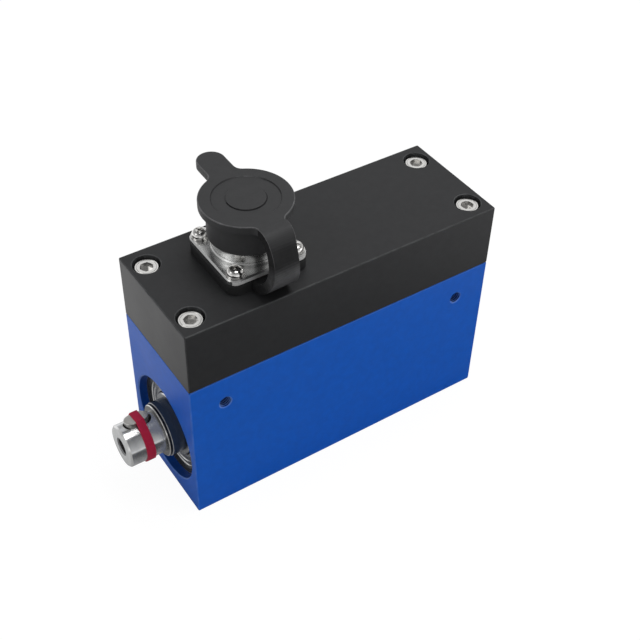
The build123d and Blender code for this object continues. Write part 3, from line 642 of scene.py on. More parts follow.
def makeCapScrew(v):  # one at the middle, copied to its four places
    tip, seat, top, shank, head = v["tip"], v["seat"], v["top"], v["shank"], v["head"]
    edge, line, half, tipEdge = v["edge"], v["line"], v["lineHalf"], v["tipEdge"]
    points = [(tip, 0), (tip, shank - tipEdge), (tip + tipEdge, shank), (seat, shank), (seat, head),
              (top - edge * 1.6, head), (top - edge * 0.5, head - edge * 0.35), (top, head - edge),
              (top, line + half), (top - v["lineDepth"], line), (top, line - half), (top, 0)]
    screw = turn("capScrew", points, "Z", (0, 0, 0), v["knurls"] * 2)
    chooseVertices(screw, lambda place: place.z < top - edge * 1.3 and place.xy.length > head - 0.01
                   and round(math.atan2(place.y, place.x) / math.tau * v["knurls"] * 2) % 2 == 0)
    shrink = 1 - v["knurlDepth"] / head
    bpy.ops.transform.resize(value=(shrink, shrink, 1), center_override=(0, 0, 0))
    deselectAll()
    depth, socket, sink = v["socketDepth"], v["socket"], v["countersink"]
    bpy.ops.mesh.primitive_cylinder_add(vertices=6, radius=socket / math.cos(math.pi / 6) * mm,
                                        depth=(depth + 1) * mm, location=(0, 0, (top + 0.5 - depth / 2) * mm))
    combine(screw, settle(bpy.context.object, "socketCutter"))
    low = top - depth
    for name, points in (("pointCutter", [(low + 0.1, 0), (low + 0.1, socket - 0.05), (low - 0.7, 0)]),
                         ("rimCutter", [(top - 0.35, 0), (top - 0.35, sink - 0.35), (top + 0.2, sink + 0.2),
                                        (top + 0.2, 0)])):
        combine(screw, turn(name, points, "Z", (0, 0, 0), 48))
    # painted highlight on the head's rim; painted shade in the socket and on the ring line
    markFaces(screw, lambda face: slanted(face) and face.center.z > (top - v["rimDeep"]) * mm
              and onRim(face, v["rimFrom"], 4))
    markFaces(screw, lambda face: inSocket(face, v), "paintedShade")
    return smooth(screw)


def onRim(face, low, high):  # by distance from the middle of a piece made at the origin
    return low * mm < math.hypot(face.center.x, face.center.y) < high * mm


def inSocket(face, v):  # painted shade: the countersink and the ring line dark, every other wall half dark
    if onRim(face, v["line"] - 0.15, v["line"] + 0.15) and slanted(face):
        return v["lineShade"]
    if not onRim(face, 0, v["socketReach"]) or face.center.z > (v["top"] - 0.01) * mm:
        return 0.0
    if abs(face.normal.z) > 0.3:
        return 1.0 if face.center.z > (v["top"] - 0.5) * mm else 0.0
    return v["wallShades"][round(math.atan2(face.normal.y, face.normal.x) / math.radians(60)) % 3]


def makeCoverScrews(v):
    first = makeCapScrew(v)
    screws = [copyTo(first, f"capScrew{k}", x, y) for k, (x, y) in enumerate(screwSpots)]
    for screw, angle in zip(screws, v["turns"]):  # each stops at its own angle
        places = [vertex.co for vertex in screw.data.vertices]
        middle = Vector((sum(p.x for p in places) / len(places), sum(p.y for p in places) / len(places), 0))
        swing(screw, angle, "Z", middle)
    bpy.data.objects.remove(first)
    return dress(joinPieces(screws, "coverScrewSet"), "stainless", "stator", "cover_screws")


makeCover(cover)
makeCoverScrews(capScrew)
print("stage: cover and screws")


# Shaft, keys, bands, sleeves and retaining rings

shaft = {"leftEnd": -69.3, "rightEnd": 67.7, "radius": 7.0, "edge": 0.5, "ringOut": 57.1, "ringIn": 56.1,
         "groove": 6.65, "journal": 7.5, "journalEnd": 40.8, "shoulder": 9.5, "shoulderEnd": 37.8, "seat": 8.5,
         "seatEnd": 22.0, "thin": 5.0, "thinEnd": 18.0, "keyFrom": 4.4, "keyLength": 8.0, "keyWidth": 5.0,
         "keyFloor": 3.5, "keyHigh": 8.5, "keyTurn": 10.0, "keywayTop": 9.5, "frontGap": 0.45, "rearGap": 0.8,
         "edgeArea": 20.0, "edgeTo": 69.2, "mouthFrom": 67.4, "threadShades": (0.85, 0.35)}
centreTap = {"core": 2.55, "crest": 2.95, "pitch": 0.8, "depth": 12.0, "mouth": 3.1}


def keyBlock(name, span, width, low, high, sweep):
    length, x = span[1] - span[0], (span[0] + span[1]) / 2
    piece = raiseOutline(name, slotOutline(length, width, x), low, high)
    swing(piece, sweep, "X", lift=shaftAxis[2])
    return piece


def slotOutline(length, width, x, count=16):
    half = length / 2 - width / 2
    return arc(x + half, 0, width / 2, -90, 90, count) + arc(x - half, 0, width / 2, 90, 270, count)


def keySpan(v, side, front=0.0, rear=0.0):  # low and high X of a key, or of its keyway with the gaps
    near = halfLength + v["keyFrom"] - rear
    far = halfLength + v["keyFrom"] + v["keyLength"] + front
    return (near, far) if side > 0 else (-far, -near)


def makeShaft(v):
    low, high, radius, edge = v["leftEnd"], v["rightEnd"], v["radius"], v["edge"]
    left = [(low, 0), (low, radius - edge), (low + edge, radius)]
    right = [(high, 0), (high, radius - edge), (high - edge, radius)]
    side = [(v["ringOut"], radius), (v["ringOut"], v["groove"]), (v["ringIn"], v["groove"]),
            (v["ringIn"], v["journal"]), (v["journalEnd"], v["journal"]), (v["journalEnd"], v["shoulder"]),
            (v["shoulderEnd"], v["shoulder"]), (v["shoulderEnd"], v["seat"]), (v["seatEnd"], v["seat"]),
            (v["thinEnd"], v["thin"])]
    points = left + [(-x, r) for x, r in side] + side[::-1] + right[::-1]
    piece = turn("shaftBar", points, steps=128)
    for side, end in ((-1, low), (1, high)):
        span = keySpan(v, side, v["frontGap"], v["rearGap"])
        combine(piece, keyBlock("keywayCutter", span, v["keyWidth"],
                                v["keyFloor"], v["keywayTop"], v["keyTurn"]))
        tap = threadedDrill("centreTap", "X", **centreTap)
        if side > 0:
            swing(tap, 180, "Z")
        tap.location = (end * mm, 0, shaftAxis[2] * mm)
        combine(piece, settle(tap, "centreTap"))
    markFaces(piece, onShaftEdge)
    markFaces(piece, inCentreHole, "paintedShade")
    return dress(smooth(piece), "groundSteel", "rotor", "torsion_shaft")


# painted highlight on the small slanted faces of the chamfers, not in the centre holes
def onShaftEdge(face):
    small = face.area / mm ** 2 < shaft["edgeArea"] and abs(face.center.x) < shaft["edgeTo"] * mm
    return small and slantedAlongX(face) and not inCentreHole(face)


def inCentreHole(face):  # painted shade on the thread flanks: strong on every flank that faces inwards and at the mouth, less on the rest
    if fromShaft(face) > centreTap["mouth"] + 0.02 or abs(face.normal.x) > 0.97:
        return 0.0
    atMouth = abs(face.center.x) > shaft["mouthFrom"] * mm
    inward, outward = shaft["threadShades"]
    return inward if face.normal.x * face.center.x < 0 or atMouth else outward


def plainName(node):
    return node.replace("_", "")


def makeKey(v, side, node):
    key = keyBlock(plainName(node) + "Bar", keySpan(v, side), v["keyWidth"] - 0.02,
                   v["keyFloor"], v["keyHigh"], v["keyTurn"])
    breakEdges(key, 0.3, 2, 50)
    # painted highlight on the key's small bevel faces
    markFaces(key, lambda face: face.area < 0.4e-6)
    return dress(smooth(key), "drawnSteel", "rotor", node)


band = {"width": 2.75, "from": 6.7, "gap": 0.02, "wall": 0.45, "edge": 0.14}


def bandHull(name, radius, top, half, low, high):  # a round bar and the key's top in one skin
    deselectAll()
    bpy.ops.mesh.primitive_cylinder_add(vertices=96, radius=radius * mm, depth=(high - low) * mm,
                                        location=((low + high) / 2 * mm, 0, 0), rotation=(0, math.pi / 2, 0))
    bar = settle(bpy.context.object, name)
    lid = addBlock("lid", (low, -half, top - 1), (high, half, top))
    breakEdges(lid, 0.3, 3)
    bar = joinPieces([bar, lid], name)
    edit(bar, "SELECT")
    bpy.ops.mesh.convex_hull()
    setMode("OBJECT")
    return bar


def makeBand(v, side, node):
    near, far = halfLength + v["from"], halfLength + v["from"] + v["width"]
    low, high = (near, far) if side > 0 else (-far, -near)
    gap, wall = v["gap"], v["wall"]
    radius, top, half = shaft["radius"] + gap, shaft["keyHigh"] + gap, shaft["keyWidth"] / 2
    loop = bandHull(plainName(node) + "Loop", radius + wall, top + wall, half + wall * 0.6, low, high)
    combine(loop, bandHull("bandCore", radius, top, half, low - 1, high + 1))
    breakEdges(loop, v["edge"], 2, 50)
    swing(loop, shaft["keyTurn"], "X", lift=shaftAxis[2])
    return dress(smooth(loop, 40), "redRubber", "rotor", node)


sleeve = {"outer": 56.1, "inner": 51.8, "radius": 9.0, "bore": 7.5, "edge": 0.2, "groove": 0.1}


def makeSleeve(v, side, node):
    middle = (v["outer"] + v["inner"]) / 2
    g = v["groove"]
    outer, inner, radius, edge = v["outer"], v["inner"], v["radius"], v["edge"]
    points = [(outer, v["bore"]), (outer, radius - edge), (outer - edge, radius), (middle + g, radius),
              (middle, radius - g), (middle - g, radius), (inner, radius), (inner, v["bore"])]
    piece = turn(plainName(node) + "Ring", points, steps=128, side=side)
    # painted highlight on the slanted faces at the outer end
    markFaces(piece, lambda face: slantedAlongX(face) and abs(face.center.x) > (v["outer"] - 0.3) * mm)
    return dress(smooth(piece), "blackSteel", "rotor", node)


clip = {"low": 56.1, "high": 57.1, "inner": 6.65, "outer": 8.7, "gap": 42.0, "gapHalf": 2.6, "gapReach": 12,
        "turn": -45.0, "lug": 1.5, "hole": 0.85, "edge": 0.28}


def makeClip(v, side, node):  # an open ring, its gap and lugs away from the key
    low, high = (v["low"], v["high"]) if side > 0 else (-v["high"], -v["low"])
    e, inner, outer = v["edge"], v["inner"], v["outer"]
    points = [(low, inner + e), (low + e, inner), (high - e, inner), (high, inner + e),
              (high, outer - e), (high - e, outer), (low + e, outer), (low, outer - e)]
    ring = turn(plainName(node) + "Clip", points, centre=(0, 0, 0), steps=96)
    gap = v["gapHalf"]
    combine(ring, addBlock("gapCutter", (low - 1, -gap, -v["gapReach"]), (high + 1, gap, 0)))
    for sign in (-1, 1):
        a = math.radians(270 + sign * v["gap"] / 2)
        reach, lug, hole = inner + v["lug"], v["lug"], v["hole"]
        centre = (0, reach * math.cos(a), reach * math.sin(a))
        points = [(low, 0), (low, lug - e), (low + e, lug), (high - e, lug), (high, lug - e), (high, 0)]
        combine(ring, turn("lug", points, centre=centre, steps=32), "UNION")
        points = [(low - 1, 0), (low - 1, hole), (high + 1, hole), (high + 1, 0)]
        combine(ring, turn("lugHole", points, centre=centre, steps=24))
    # painted highlight on the clip's slanted faces
    markFaces(ring, slantedAlongX)
    swing(ring, v["turn"], "X", lift=shaftAxis[2])
    return dress(smooth(ring, 40), "springSteel", "rotor", node)


makeShaft(shaft)
for sideName, sideSign in (("left", -1), ("right", 1)):
    makeKey(shaft, sideSign, f"{sideName}_key")
    makeBand(band, sideSign, f"{sideName}_key_band")
    makeSleeve(sleeve, sideSign, f"{sideName}_sleeve")
    makeClip(clip, sideSign, f"{sideName}_retaining_ring")
print("stage: shaft group")


# Bearings, as far as they show

bearing = {"face": 51.8, "inner": 40.8, "outside": 17.5, "bore": 7.5, "corner": 0.6, "outerLand": 14.375,
           "innerLand": 10.625, "pitch": 12.5, "race": 3.055, "seat": 15.5, "step": 1.1, "shieldIn": 0.7,
           "shieldWall": 0.4, "gap": 0.3}


def raceArc(v, outward):  # the groove the balls run in, between the two lands
    middle = (v["face"] + v["inner"]) / 2
    land = v["outerLand"] if outward else v["innerLand"]
    reach = math.degrees(math.acos(abs(land - v["pitch"]) / v["race"]))
    start = 90 if outward else 270
    return [(middle + x, v["pitch"] + r) for x, r in arc(0, 0, v["race"], start - reach, start + reach, 12)]


def makeBearingRings(v, side, name):
    c, face, inner = v["corner"], v["face"], v["inner"]
    outer = [(face, v["seat"]), (face, v["outside"] - c), (face - c * 0.3, v["outside"] - c * 0.3),
             (face - c, v["outside"]), (inner + c, v["outside"]), (inner + c * 0.3, v["outside"] - c * 0.3),
             (inner, v["outside"] - c), (inner, v["seat"]), (inner + v["step"], v["seat"]),
             (inner + v["step"], v["outerLand"])]
    outer += raceArc(v, True)[::-1]
    outer += [(face - v["step"], v["outerLand"]), (face - v["step"], v["seat"])]
    piece = turn(f"{name}OuterRing", outer, steps=128, side=side)
    # painted highlight on the outer ring's chamfers
    markFaces(piece, slantedAlongX)
    dress(smooth(piece, 25), "bearingSteel", "stator", f"{name}_outer_ring")
    c = c / 2
    ring = [(face, v["bore"]), (inner, v["bore"]), (inner, v["innerLand"] - c), (inner + c, v["innerLand"])]
    ring += raceArc(v, False)
    ring += [(face - c, v["innerLand"]), (face, v["innerLand"] - c)]
    piece = turn(f"{name}InnerRing", ring, steps=128, side=side)
    # painted highlight on the inner ring's chamfers
    markFaces(piece, slantedAlongX)
    return dress(smooth(piece, 25), "raceSteel", "rotor", f"{name}_inner_ring")


def makeShields(v, side, name):  # pressed discs with a rolled rim and a shallow step
    low, high = v["innerLand"] + v["gap"], v["seat"]
    pair = []
    for k, (out, way) in enumerate(((v["face"] - v["shieldIn"], -1), (v["inner"] + v["shieldIn"], 1))):
        t = v["shieldWall"] * way
        deep = out + t * 0.6
        points = [(out, high), (out, high - 0.6), (deep, high - 0.8), (deep, high - 1.5), (out, high - 1.7),
                  (out, high - 2.2), (deep, high - 2.4), (deep, low + 0.9), (out, low + 0.7), (out, low),
                  (out + t, low), (out + t, high)]
        pair.append(turn(f"{name}Shield{k}", points, steps=128, side=side))
    piece = joinPieces(pair, f"{name}ShieldPair")
    # painted highlight on the shields' slanted faces
    markFaces(piece, slantedAlongX)
    return dress(smooth(piece, 25), "pressedSteel", "stator", f"{name}_shields")


for sideName, sideSign in (("left", -1), ("right", 1)):
    makeBearingRings(bearing, sideSign, sideName)
    makeShields(bearing, sideSign, sideName)
print("stage: bearings")


# Connector: pad, flange with barrel, washers and screws

flange = {"side": 26.2, "corner": 3.2, "pad": 76.0, "low": 79.5, "high": 81.6, "edge": 0.45, "padEdge": 0.35,
          "hub": 10.15, "foot": 10.75, "footHigh": 0.9, "hubTop": 86.0, "barrel": 10.2, "barrelTop": 94.9,
          "bore": 8.5, "insertLow": 73.0, "spigot": 9.4, "spigotLow": 72.0, "lip": 7.6, "screwHole": 1.5,
          "pitch": 1.0, "threadDepth": 0.55, "footReach": 10.9, "footTop": 82.3, "footShade": 0.6,
          "line": (82.5, 82.8), "lineShade": 0.8, "hubFrom": 81.2, "hubShine": 0.5, "edgeArea": 4.0,
          "edgeTop": 83.5, "castTo": -12.0}


def makePad(v):
    outline = roundedRectangle(v["side"], v["side"], v["corner"], connectorX, count=10)
    pad = raiseOutline("flangePadSheet", outline, v["pad"], v["low"])
    combine(pad, addBar("padHole", cover["connectorHole"], v["pad"] - 1, v["low"] + 1, connectorX, 0, 96))
    breakEdges(pad, v["padEdge"], 3, 50)
    return dress(smooth(pad, 40), "padRubber", "stator", "flange_pad")


def barrelProfile(v):  # half section of the hub, the threaded barrel and the bore, from the bottom up
    low, step, top = v["spigotLow"], v["high"] + v["footHigh"], v["barrelTop"]
    under, foot, hub, hubTop = v["low"] + 0.6, v["foot"], v["hub"], v["hubTop"]
    crest, root, bore = v["barrel"], v["barrel"] - v["threadDepth"], v["bore"]
    outer = [(low, v["lip"]), (low, v["spigot"]), (under, v["spigot"]), (under, foot), (step - 0.3, foot),
             (step, foot - 0.3), (step, hub + 0.15), (step + 0.15, hub), (hubTop - 0.3, hub), (hubTop, root)]
    z, pitch = hubTop + 0.6, v["pitch"]
    while z + pitch < top - 0.4:
        outer += [(z, root), (z + pitch * 0.4, crest), (z + pitch * 0.6, crest), (z + pitch, root)]
        z += pitch
    return outer + [(top - 0.1, root), (top, root - 0.1), (top, bore + 0.3), (top - 0.3, bore),
                    (v["insertLow"], bore), (v["insertLow"], v["lip"])]


def onFlangeEdge(face):  # painted highlight on the outer edge and the hub's slanted faces, and the rest of the hub painted paler as a sheen at half strength
    z = face.center.z / mm
    if flange["hubFrom"] < z < flange["hubTop"] and fromConnector(face) < flange["footReach"]:
        return 1.0 if slanted(face) else flange["hubShine"]
    return slanted(face) and face.area / mm ** 2 < flange["edgeArea"] and z < flange["edgeTop"]


def inFootCorner(face):  # painted shade on the hub's foot, and on the line where the hub rises from it
    z = face.center.z / mm
    foot = flange["high"] < z < flange["footTop"] and abs(face.normal.z) < 0.2
    line = flange["line"][0] < z < flange["line"][1] and slanted(face)
    shade = flange["footShade"] * foot + flange["lineShade"] * line
    return shade * (fromConnector(face) < flange["footReach"])


def inCastWall(face):  # the plate's near wall
    near = face.normal.y < -0.6 and face.center.y < flange["castTo"] * mm
    return near and face.center.z < (flange["high"] - 0.3) * mm


def makeConnectorShell(v):
    low, high = v["low"], v["high"]
    outline = roundedRectangle(v["side"], v["side"], v["corner"], connectorX, count=10)
    plate = raiseOutline("connectorFlange", outline, low, high)
    breakEdges(plate, v["edge"], 1, 50)
    combine(plate, addBar("plateHole", v["spigot"], low - 1, high + 5, connectorX, 0, 96))
    for k, (x, y) in enumerate(flangeSpots):
        combine(plate, addBar(f"flangeHole{k}", v["screwHole"], low - 1, high + 5, x, y, 32))
    combine(plate, turn("connectorTube", barrelProfile(v), "Z", (connectorX, 0, 0), 128), "UNION")
    markFaces(plate, onFlangeEdge)
    markFaces(plate, inFootCorner, "paintedShade")
    markFaces(plate, inCastWall, "cast")
    return dress(smooth(plate, 30), "satinNickel", "stator", "connector_shell")


panScrew = {"seat": 82.1, "head": 2.42, "rim": 0.45, "high": 1.8, "flat": 0.42, "shank": 1.23, "tip": 72.1,
            "slot": 0.75, "slotReach": 1.75, "slotDepth": 0.9, "slotTaper": 0.55, "turns": (12, 48, 71, 30)}


def makePanScrews(v):
    seat, head, rim, flat, tip, shank = (v[k] for k in ("seat", "head", "rim", "flat", "tip", "shank"))
    dome = [(seat + rim + (v["high"] - rim) * y, head * (flat + (1 - flat) * x))
            for x, y in arc(0, 0, 1, 0, 90, 8)]
    top, floor = seat + v["high"], seat + v["high"] - v["slotDepth"]
    points = [(tip, 0), (tip, shank - 0.3), (tip + 0.3, shank), (seat, shank), (seat, head)] + dome + [(top, 0)]
    first = turn("panScrew", points, "Z", (0, 0, 0), 64)
    reach, half = v["slotReach"], v["slot"] / 2
    for x, y in ((reach, half), (half, reach)):
        cutter = addBlock("crossCutter", (-x, -y, floor), (x, y, top + 1))
        chooseVertices(cutter, lambda place: place.z < top)
        bpy.ops.transform.resize(value=(v["slotTaper"], v["slotTaper"], 1),
                                 center_override=(0, 0, floor * mm))
        setMode("OBJECT")
        combine(first, cutter)
    smooth(first, 28)
    screws = []
    for k, ((x, y), angle) in enumerate(zip(flangeSpots, v["turns"])):
        swing(first, angle, "Z")
        screws.append(copyTo(first, f"panScrew{k}", x, y))
    bpy.data.objects.remove(first)
    return dress(joinPieces(screws, "flangeScrewSet"), "stainless", "stator", "flange_screws")


washer = {"profile": ((81.6, 1.27), (81.6, 2.74), (81.68, 2.82), (81.82, 2.82), (81.9, 2.72), (81.9, 2.55),
                      (82.02, 2.55), (82.1, 2.48), (82.1, 1.27))}  # a flat one under a spring one


def makeWashers(v):
    rings = [turn(f"washer{k}", v["profile"], "Z", (x, y, 0), 48) for k, (x, y) in enumerate(flangeSpots)]
    piece = joinPieces(rings, "flangeWasherSet")
    # painted shade on the washers' slanted faces
    markFaces(piece, lambda face: 0.4 * slanted(face), "paintedShade")
    return dress(smooth(piece), "stainless", "stator", "flange_washers")


makePad(flange)
makeConnectorShell(flange)
makeWashers(washer)
makePanScrews(panScrew)
print("stage: connector")


# Dust cap and strap

cap = {"disc": 13.7, "low": 95.5, "high": 98.1, "tabHalf": 4.35, "tabReach": 20.65, "tabFillet": 3.0,
       "rootHalf": 4.25, "rootFillet": 2.8, "rootReach": 15.4, "bore": 10.45, "wall": 1.2, "skirtLow": 86.2,
       "innerRing": 5.8, "outerRing": 10.0, "ringDepth": 0.3, "edge": 0.3, "turn": -1.2,
       "innerReach": 6.6, "outerReach": 10.7, "farFrom": 9.5, "ringFrom": 97.2, "rimFrom": 97.3,
       "innerShade": 0.9, "innerTo": 1, "outerShade": 0.5, "outerFrom": -4, "farY": 3, "farHalf": 5.5,
       "sideways": (0.85, 0.53)}


def capOutline(v):  # the disc with its tab, the strap's root, and fillets between them
    r = v["disc"]
    tabHalf, tabFillet, rootHalf, rootFillet = v["tabHalf"], v["tabFillet"], v["rootHalf"], v["rootFillet"]
    tabY = math.sqrt((r + tabFillet) ** 2 - (tabHalf + tabFillet) ** 2)
    tabAngle = math.degrees(math.atan2(tabY, tabHalf + tabFillet))
    rootY = math.sqrt((r + rootFillet) ** 2 - (rootHalf + rootFillet) ** 2)
    rootAngle = math.degrees(math.atan2(rootY, rootHalf + rootFillet))
    half = [(rootHalf, -v["rootReach"])]
    half += arc(rootHalf + rootFillet, -rootY, rootFillet, 180, 180 - rootAngle, 10)
    half += arc(0, 0, r, -rootAngle, tabAngle, 48)[1:-1]
    half += arc(tabHalf + tabFillet, tabY, tabFillet, 180 + tabAngle, 180, 10)
    half += arc(0, v["tabReach"], tabHalf, 0, 90, 12)
    return half + [(-x, y) for x, y in half[-2::-1]]


def makeCap(v):
    low, high, depth = v["low"], v["high"], v["ringDepth"]
    c, s = math.cos(math.radians(v["turn"])), math.sin(math.radians(v["turn"]))  # pushed on a little askew
    outline = [(connectorX + x * c - y * s, x * s + y * c) for x, y in capOutline(v)]
    plate = raiseOutline("dustCapLid", outline, low, high)
    breakEdges(plate, v["edge"], 2, 50)
    inner, outer = v["innerRing"], v["outerRing"]
    ring = [(high - depth, inner + 0.2), (high + 0.2, inner - 0.25), (high + 0.2, outer + 0.25),
            (high - depth, outer - 0.2)]
    combine(plate, turn("ringCutter", ring, "Z", (connectorX, 0, 0), 128))
    end, bore, wall = v["skirtLow"], v["bore"], v["bore"] + v["wall"]
    skirt = [(end + 0.25, bore), (end, bore + 0.25), (end, wall - 0.3), (end + 0.3, wall), (low - 0.5, wall),
             (low - 0.15, wall + 0.15), (low + 0.4, wall + 0.6), (low + 0.4, bore - 1), (low, bore - 1),
             (low, bore)]
    combine(plate, turn("capSkirt", skirt, "Z", (connectorX, 0, 0), 128), "UNION")
    markFaces(plate, onCapEdge)
    markFaces(plate, inCapRing, "paintedShade")
    return dress(smooth(plate, 40), "capRubber", "cap", "dust_cap")


def capSide(face):  # how far to the right of the cap's middle the photo shows a face
    right, near = cap["sideways"]
    return right * (face.center.x / mm - connectorX) - near * face.center.y / mm


def inCapRing(face):  # painted shade on the near side of the step round the middle, and on the outer step at both sides
    y, z, radius = face.center.y / mm, face.center.z / mm, fromConnector(face)
    if z < cap["ringFrom"] or not 0.2 < face.normal.z < 0.97:
        return 0.0
    if radius < cap["innerReach"]:
        return cap["innerShade"] * (y < cap["innerTo"])
    outer = radius < cap["outerReach"] and y > cap["outerFrom"]
    return cap["outerShade"] * outer * limit((abs(capSide(face)) - 2) / 5)


def onCapEdge(face):  # painted highlight on the rim, and on the middle of the outer ring's far wall
    radius = fromConnector(face)
    broken = face.center.z / mm > cap["rimFrom"] and 0.25 < face.normal.z < 0.95
    if radius > cap["outerReach"]:
        return broken
    far = radius > cap["farFrom"] and face.center.y / mm > cap["farY"]
    return broken * far * max(0.0, 1 - abs(capSide(face)) / cap["farHalf"])


strap = {"width": 9.0, "flare": 0.16, "thickness": 3.0, "tip": 0.82, "lean": 3.2, "twist": 3.0, "edge": 0.35,
         "columns": 8, "neck": 0.25, "shift": -0.3, "arcPoints": 9,
         "spots": ((-14.0, 96.8), (-15.4, 96.75), (-18.4, 95.1), (-21.2, 88.4), (-20.2, 82.6), (-13.1, 78.1)),
         "paintedLight": 85.6, "paintedLightHalf": 4.6, "shade": 91.6, "shadeHalf": 4.8, "foldTop": 81.5, "foldFrom": -19,
         "paleEdgeFrom": 85, "paleEdgeSpan": 9, "paleEdgeTo": -16.5, "paleAbove": 90, "paintedLightShare": 0.7,
         "rootFrom": 13.6, "rootSpan": 2.5}


def arcChain(spots, count):  # points on arcs that run smoothly from spot to spot
    line = [Vector(spots[0])]
    heading = math.atan2(spots[1][1] - spots[0][1], spots[1][0] - spots[0][0])
    for goal in spots[1:]:
        start, chord = line[-1], Vector(goal) - line[-1]
        bend = (math.atan2(chord.y, chord.x) - heading + math.pi) % math.tau - math.pi
        for k in range(1, count + 1):
            share = math.sin(bend * k / count) / math.sin(bend) if abs(bend) > 1e-4 else k / count
            way = heading + bend * k / count
            line.append(start + Vector((math.cos(way), math.sin(way))) * (chord.length * share))
        heading += 2 * bend
    return line


def makeStrap(v):  # a ribbon along the arcs, twisted, then given its thickness
    start, pitch = connectorX - v["width"] / 2, v["width"] / v["columns"]
    line = arcChain(v["spots"], v["arcPoints"])
    piece = drawPath([(start, y, z) for y, z in line], closed=False)
    for k in range(v["columns"]):
        edge = start + k * v["width"] / v["columns"]
        chooseVertices(piece, lambda place: abs(place.x - edge) < 0.01)
        bpy.ops.mesh.extrude_region_move(TRANSFORM_OT_translate={"value": (pitch * mm, 0, 0)})
    setMode("OBJECT")
    settle(piece, "capStrapBand")
    shapeStrap(piece, v)
    applyModifier(piece, "SOLIDIFY", thickness=v["thickness"] * mm, offset=0, use_even_offset=True,
                  vertex_group="full", thickness_vertex_group=v["tip"])
    edit(piece)
    faceOutwards()
    setMode("OBJECT")
    breakEdges(piece, v["edge"], 2, 50)
    markFaces(piece, onStrapEdge)
    markFaces(piece, inStrapShade, "paintedShade")
    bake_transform(piece)
    piece.data.materials.append(finishes["capRubber"])
    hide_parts("cap_strap")
    return smooth(piece, 40)


def onStrapEdge(face):  # painted highlight on both long edges towards the top, and painted light on the lower half of the outer face
    y, z = face.center.y / mm, face.center.z / mm
    if 0.3 < abs(face.normal.x) < 0.85:
        pale = y < strap["paleEdgeTo"] or z > strap["paleAbove"]
        return pale * limit((z - strap["paleEdgeFrom"]) / strap["paleEdgeSpan"], 0.15)
    paintedLight = max(0.0, 1 - abs(z - strap["paintedLight"]) / strap["paintedLightHalf"])
    return strap["paintedLightShare"] * (face.normal.y < 0) * paintedLight


def inStrapShade(face):  # painted shade on the sides, the fold underneath, and the middle of the outer face
    y, z = face.center.y / mm, face.center.z / mm
    if abs(face.normal.x) > 0.85 or (z < strap["foldTop"] and y > strap["foldFrom"]):
        return 1.0
    return (face.normal.y < 0) * limit(1.3 - abs(z - strap["shade"]) / strap["shadeHalf"], high=0.85)


def shapeStrap(piece, v):
    full = piece.vertex_groups.new(name="full")
    top, low = v["spots"][1][1] * mm, v["spots"][-1][1] * mm
    slope = math.tan(math.radians(v["lean"]))
    for vertex in piece.data.vertices:
        across, fall = vertex.co.x - connectorX * mm, top - vertex.co.z
        down = fall / (top - low)
        bulge = max(0.0, math.sin(math.pi * limit(down)))
        vertex.co.y += across * math.sin(math.radians(v["twist"]) * bulge)
        vertex.co.x += across * (v["flare"] * max(down, 0.0) - v["neck"] * bulge * (1 - down))
        vertex.co.x += v["shift"] * mm - fall * slope
        reach = -vertex.co.y / mm - v["rootFrom"]
        thick = limit(reach / v["rootSpan"]) if down < 0.2 else 1.0  # thinner at the root
        full.add([vertex.index], thick, "REPLACE")


makeCap(cap)
makeStrap(strap)
print("stage: dust cap")

# Pieces kept from the CAD, each with its finish

keptFinishes = {"cover_seal": "padRubber", "preload_spring": "raceSteel", "strain_gauges": "amberFilm",
                "stator_leads": "wireCover", "rotor_disc": "greenBoard", "rotor_chips": "blackMould",
                "signal_board": "greenBoard", "board_parts": "blackMould", "board_standoffs": "brass",
                "board_screws": "stainless", "connector_insert": "blackMould", "contact_pins": "goldPlate",
                "connector_wires": "wireCover"}
sideFinishes = {"balls": "raceSteel", "ball_cage": "brass", "rotor_core": "ferrite", "stator_core": "ferrite",
                "rotor_winding": "copperCoil", "stator_winding": "copperCoil"}


def finishKeptNodes(table, sideTable):
    for side in ("left_", "right_"):
        table = {**table, **{side + node: finish for node, finish in sideTable.items()}}
    for node, finish in table.items():
        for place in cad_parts[node].material_slots:
            place.material = finishes[finish]


finishKeptNodes(keptFinishes, sideFinishes)
print("stage: kept pieces finished")


# Floor, light and camera

view = {"place": (-0.14766, -0.21929, 0.28878), "aim": (0.00939, 0.00842, 0.02824),
        "roll": 1.64, "lens": 63.43}


def addAimed(name, data, place, aim, roll=0.0):
    thing = bpy.data.objects.new(name, data)
    bpy.context.scene.collection.objects.link(thing)
    heading = (Vector(aim) - Vector(place)).to_track_quat("-Z", "Y").to_matrix().to_4x4()
    thing.matrix_world = Matrix.Translation(place) @ heading @ Matrix.Rotation(math.radians(roll), 4, "Z")
    return thing


def makeCamera(v):
    data = bpy.data.cameras.new("photoCamera")
    data.lens = v["lens"]
    data.sensor_width = 36
    data.clip_start = 0.01
    bpy.context.scene.camera = addAimed("photoCamera", data, v["place"], v["aim"], v["roll"])


def makeLamp(name, place, aim, size, power):
    data = bpy.data.lights.new(name, "AREA")
    data.shape = "RECTANGLE"
    data.size, data.size_y = size
    data.energy = power
    addAimed(name, data, place, aim)


floorLook = {"colour": (0.8, 0.8, 0.8), "roughness": 0.9, "shownWhite": 0.9, "white": 1.06,
             "across": (-0.56, 0.83, 0.0), "near": 0.0, "far": 0.11, "darkEnd": 0.02, "paleEnd": 1.05,
             "rightFrom": -0.08, "rightTo": -0.14, "rightEnd": 0.9}


def mixShaders(tree, amount, first, second):
    node = tree.nodes.new("ShaderNodeMixShader")
    for socket, source in zip(node.inputs, (amount, first.outputs[0], second.outputs[0])):
        tree.links.new(source, socket)
    return node


def seenRays(tree, path):  # camera rays, also through what is clear
    return addMath(tree, "MAXIMUM", path.outputs["Is Camera Ray"], path.outputs["Is Transmission Ray"])


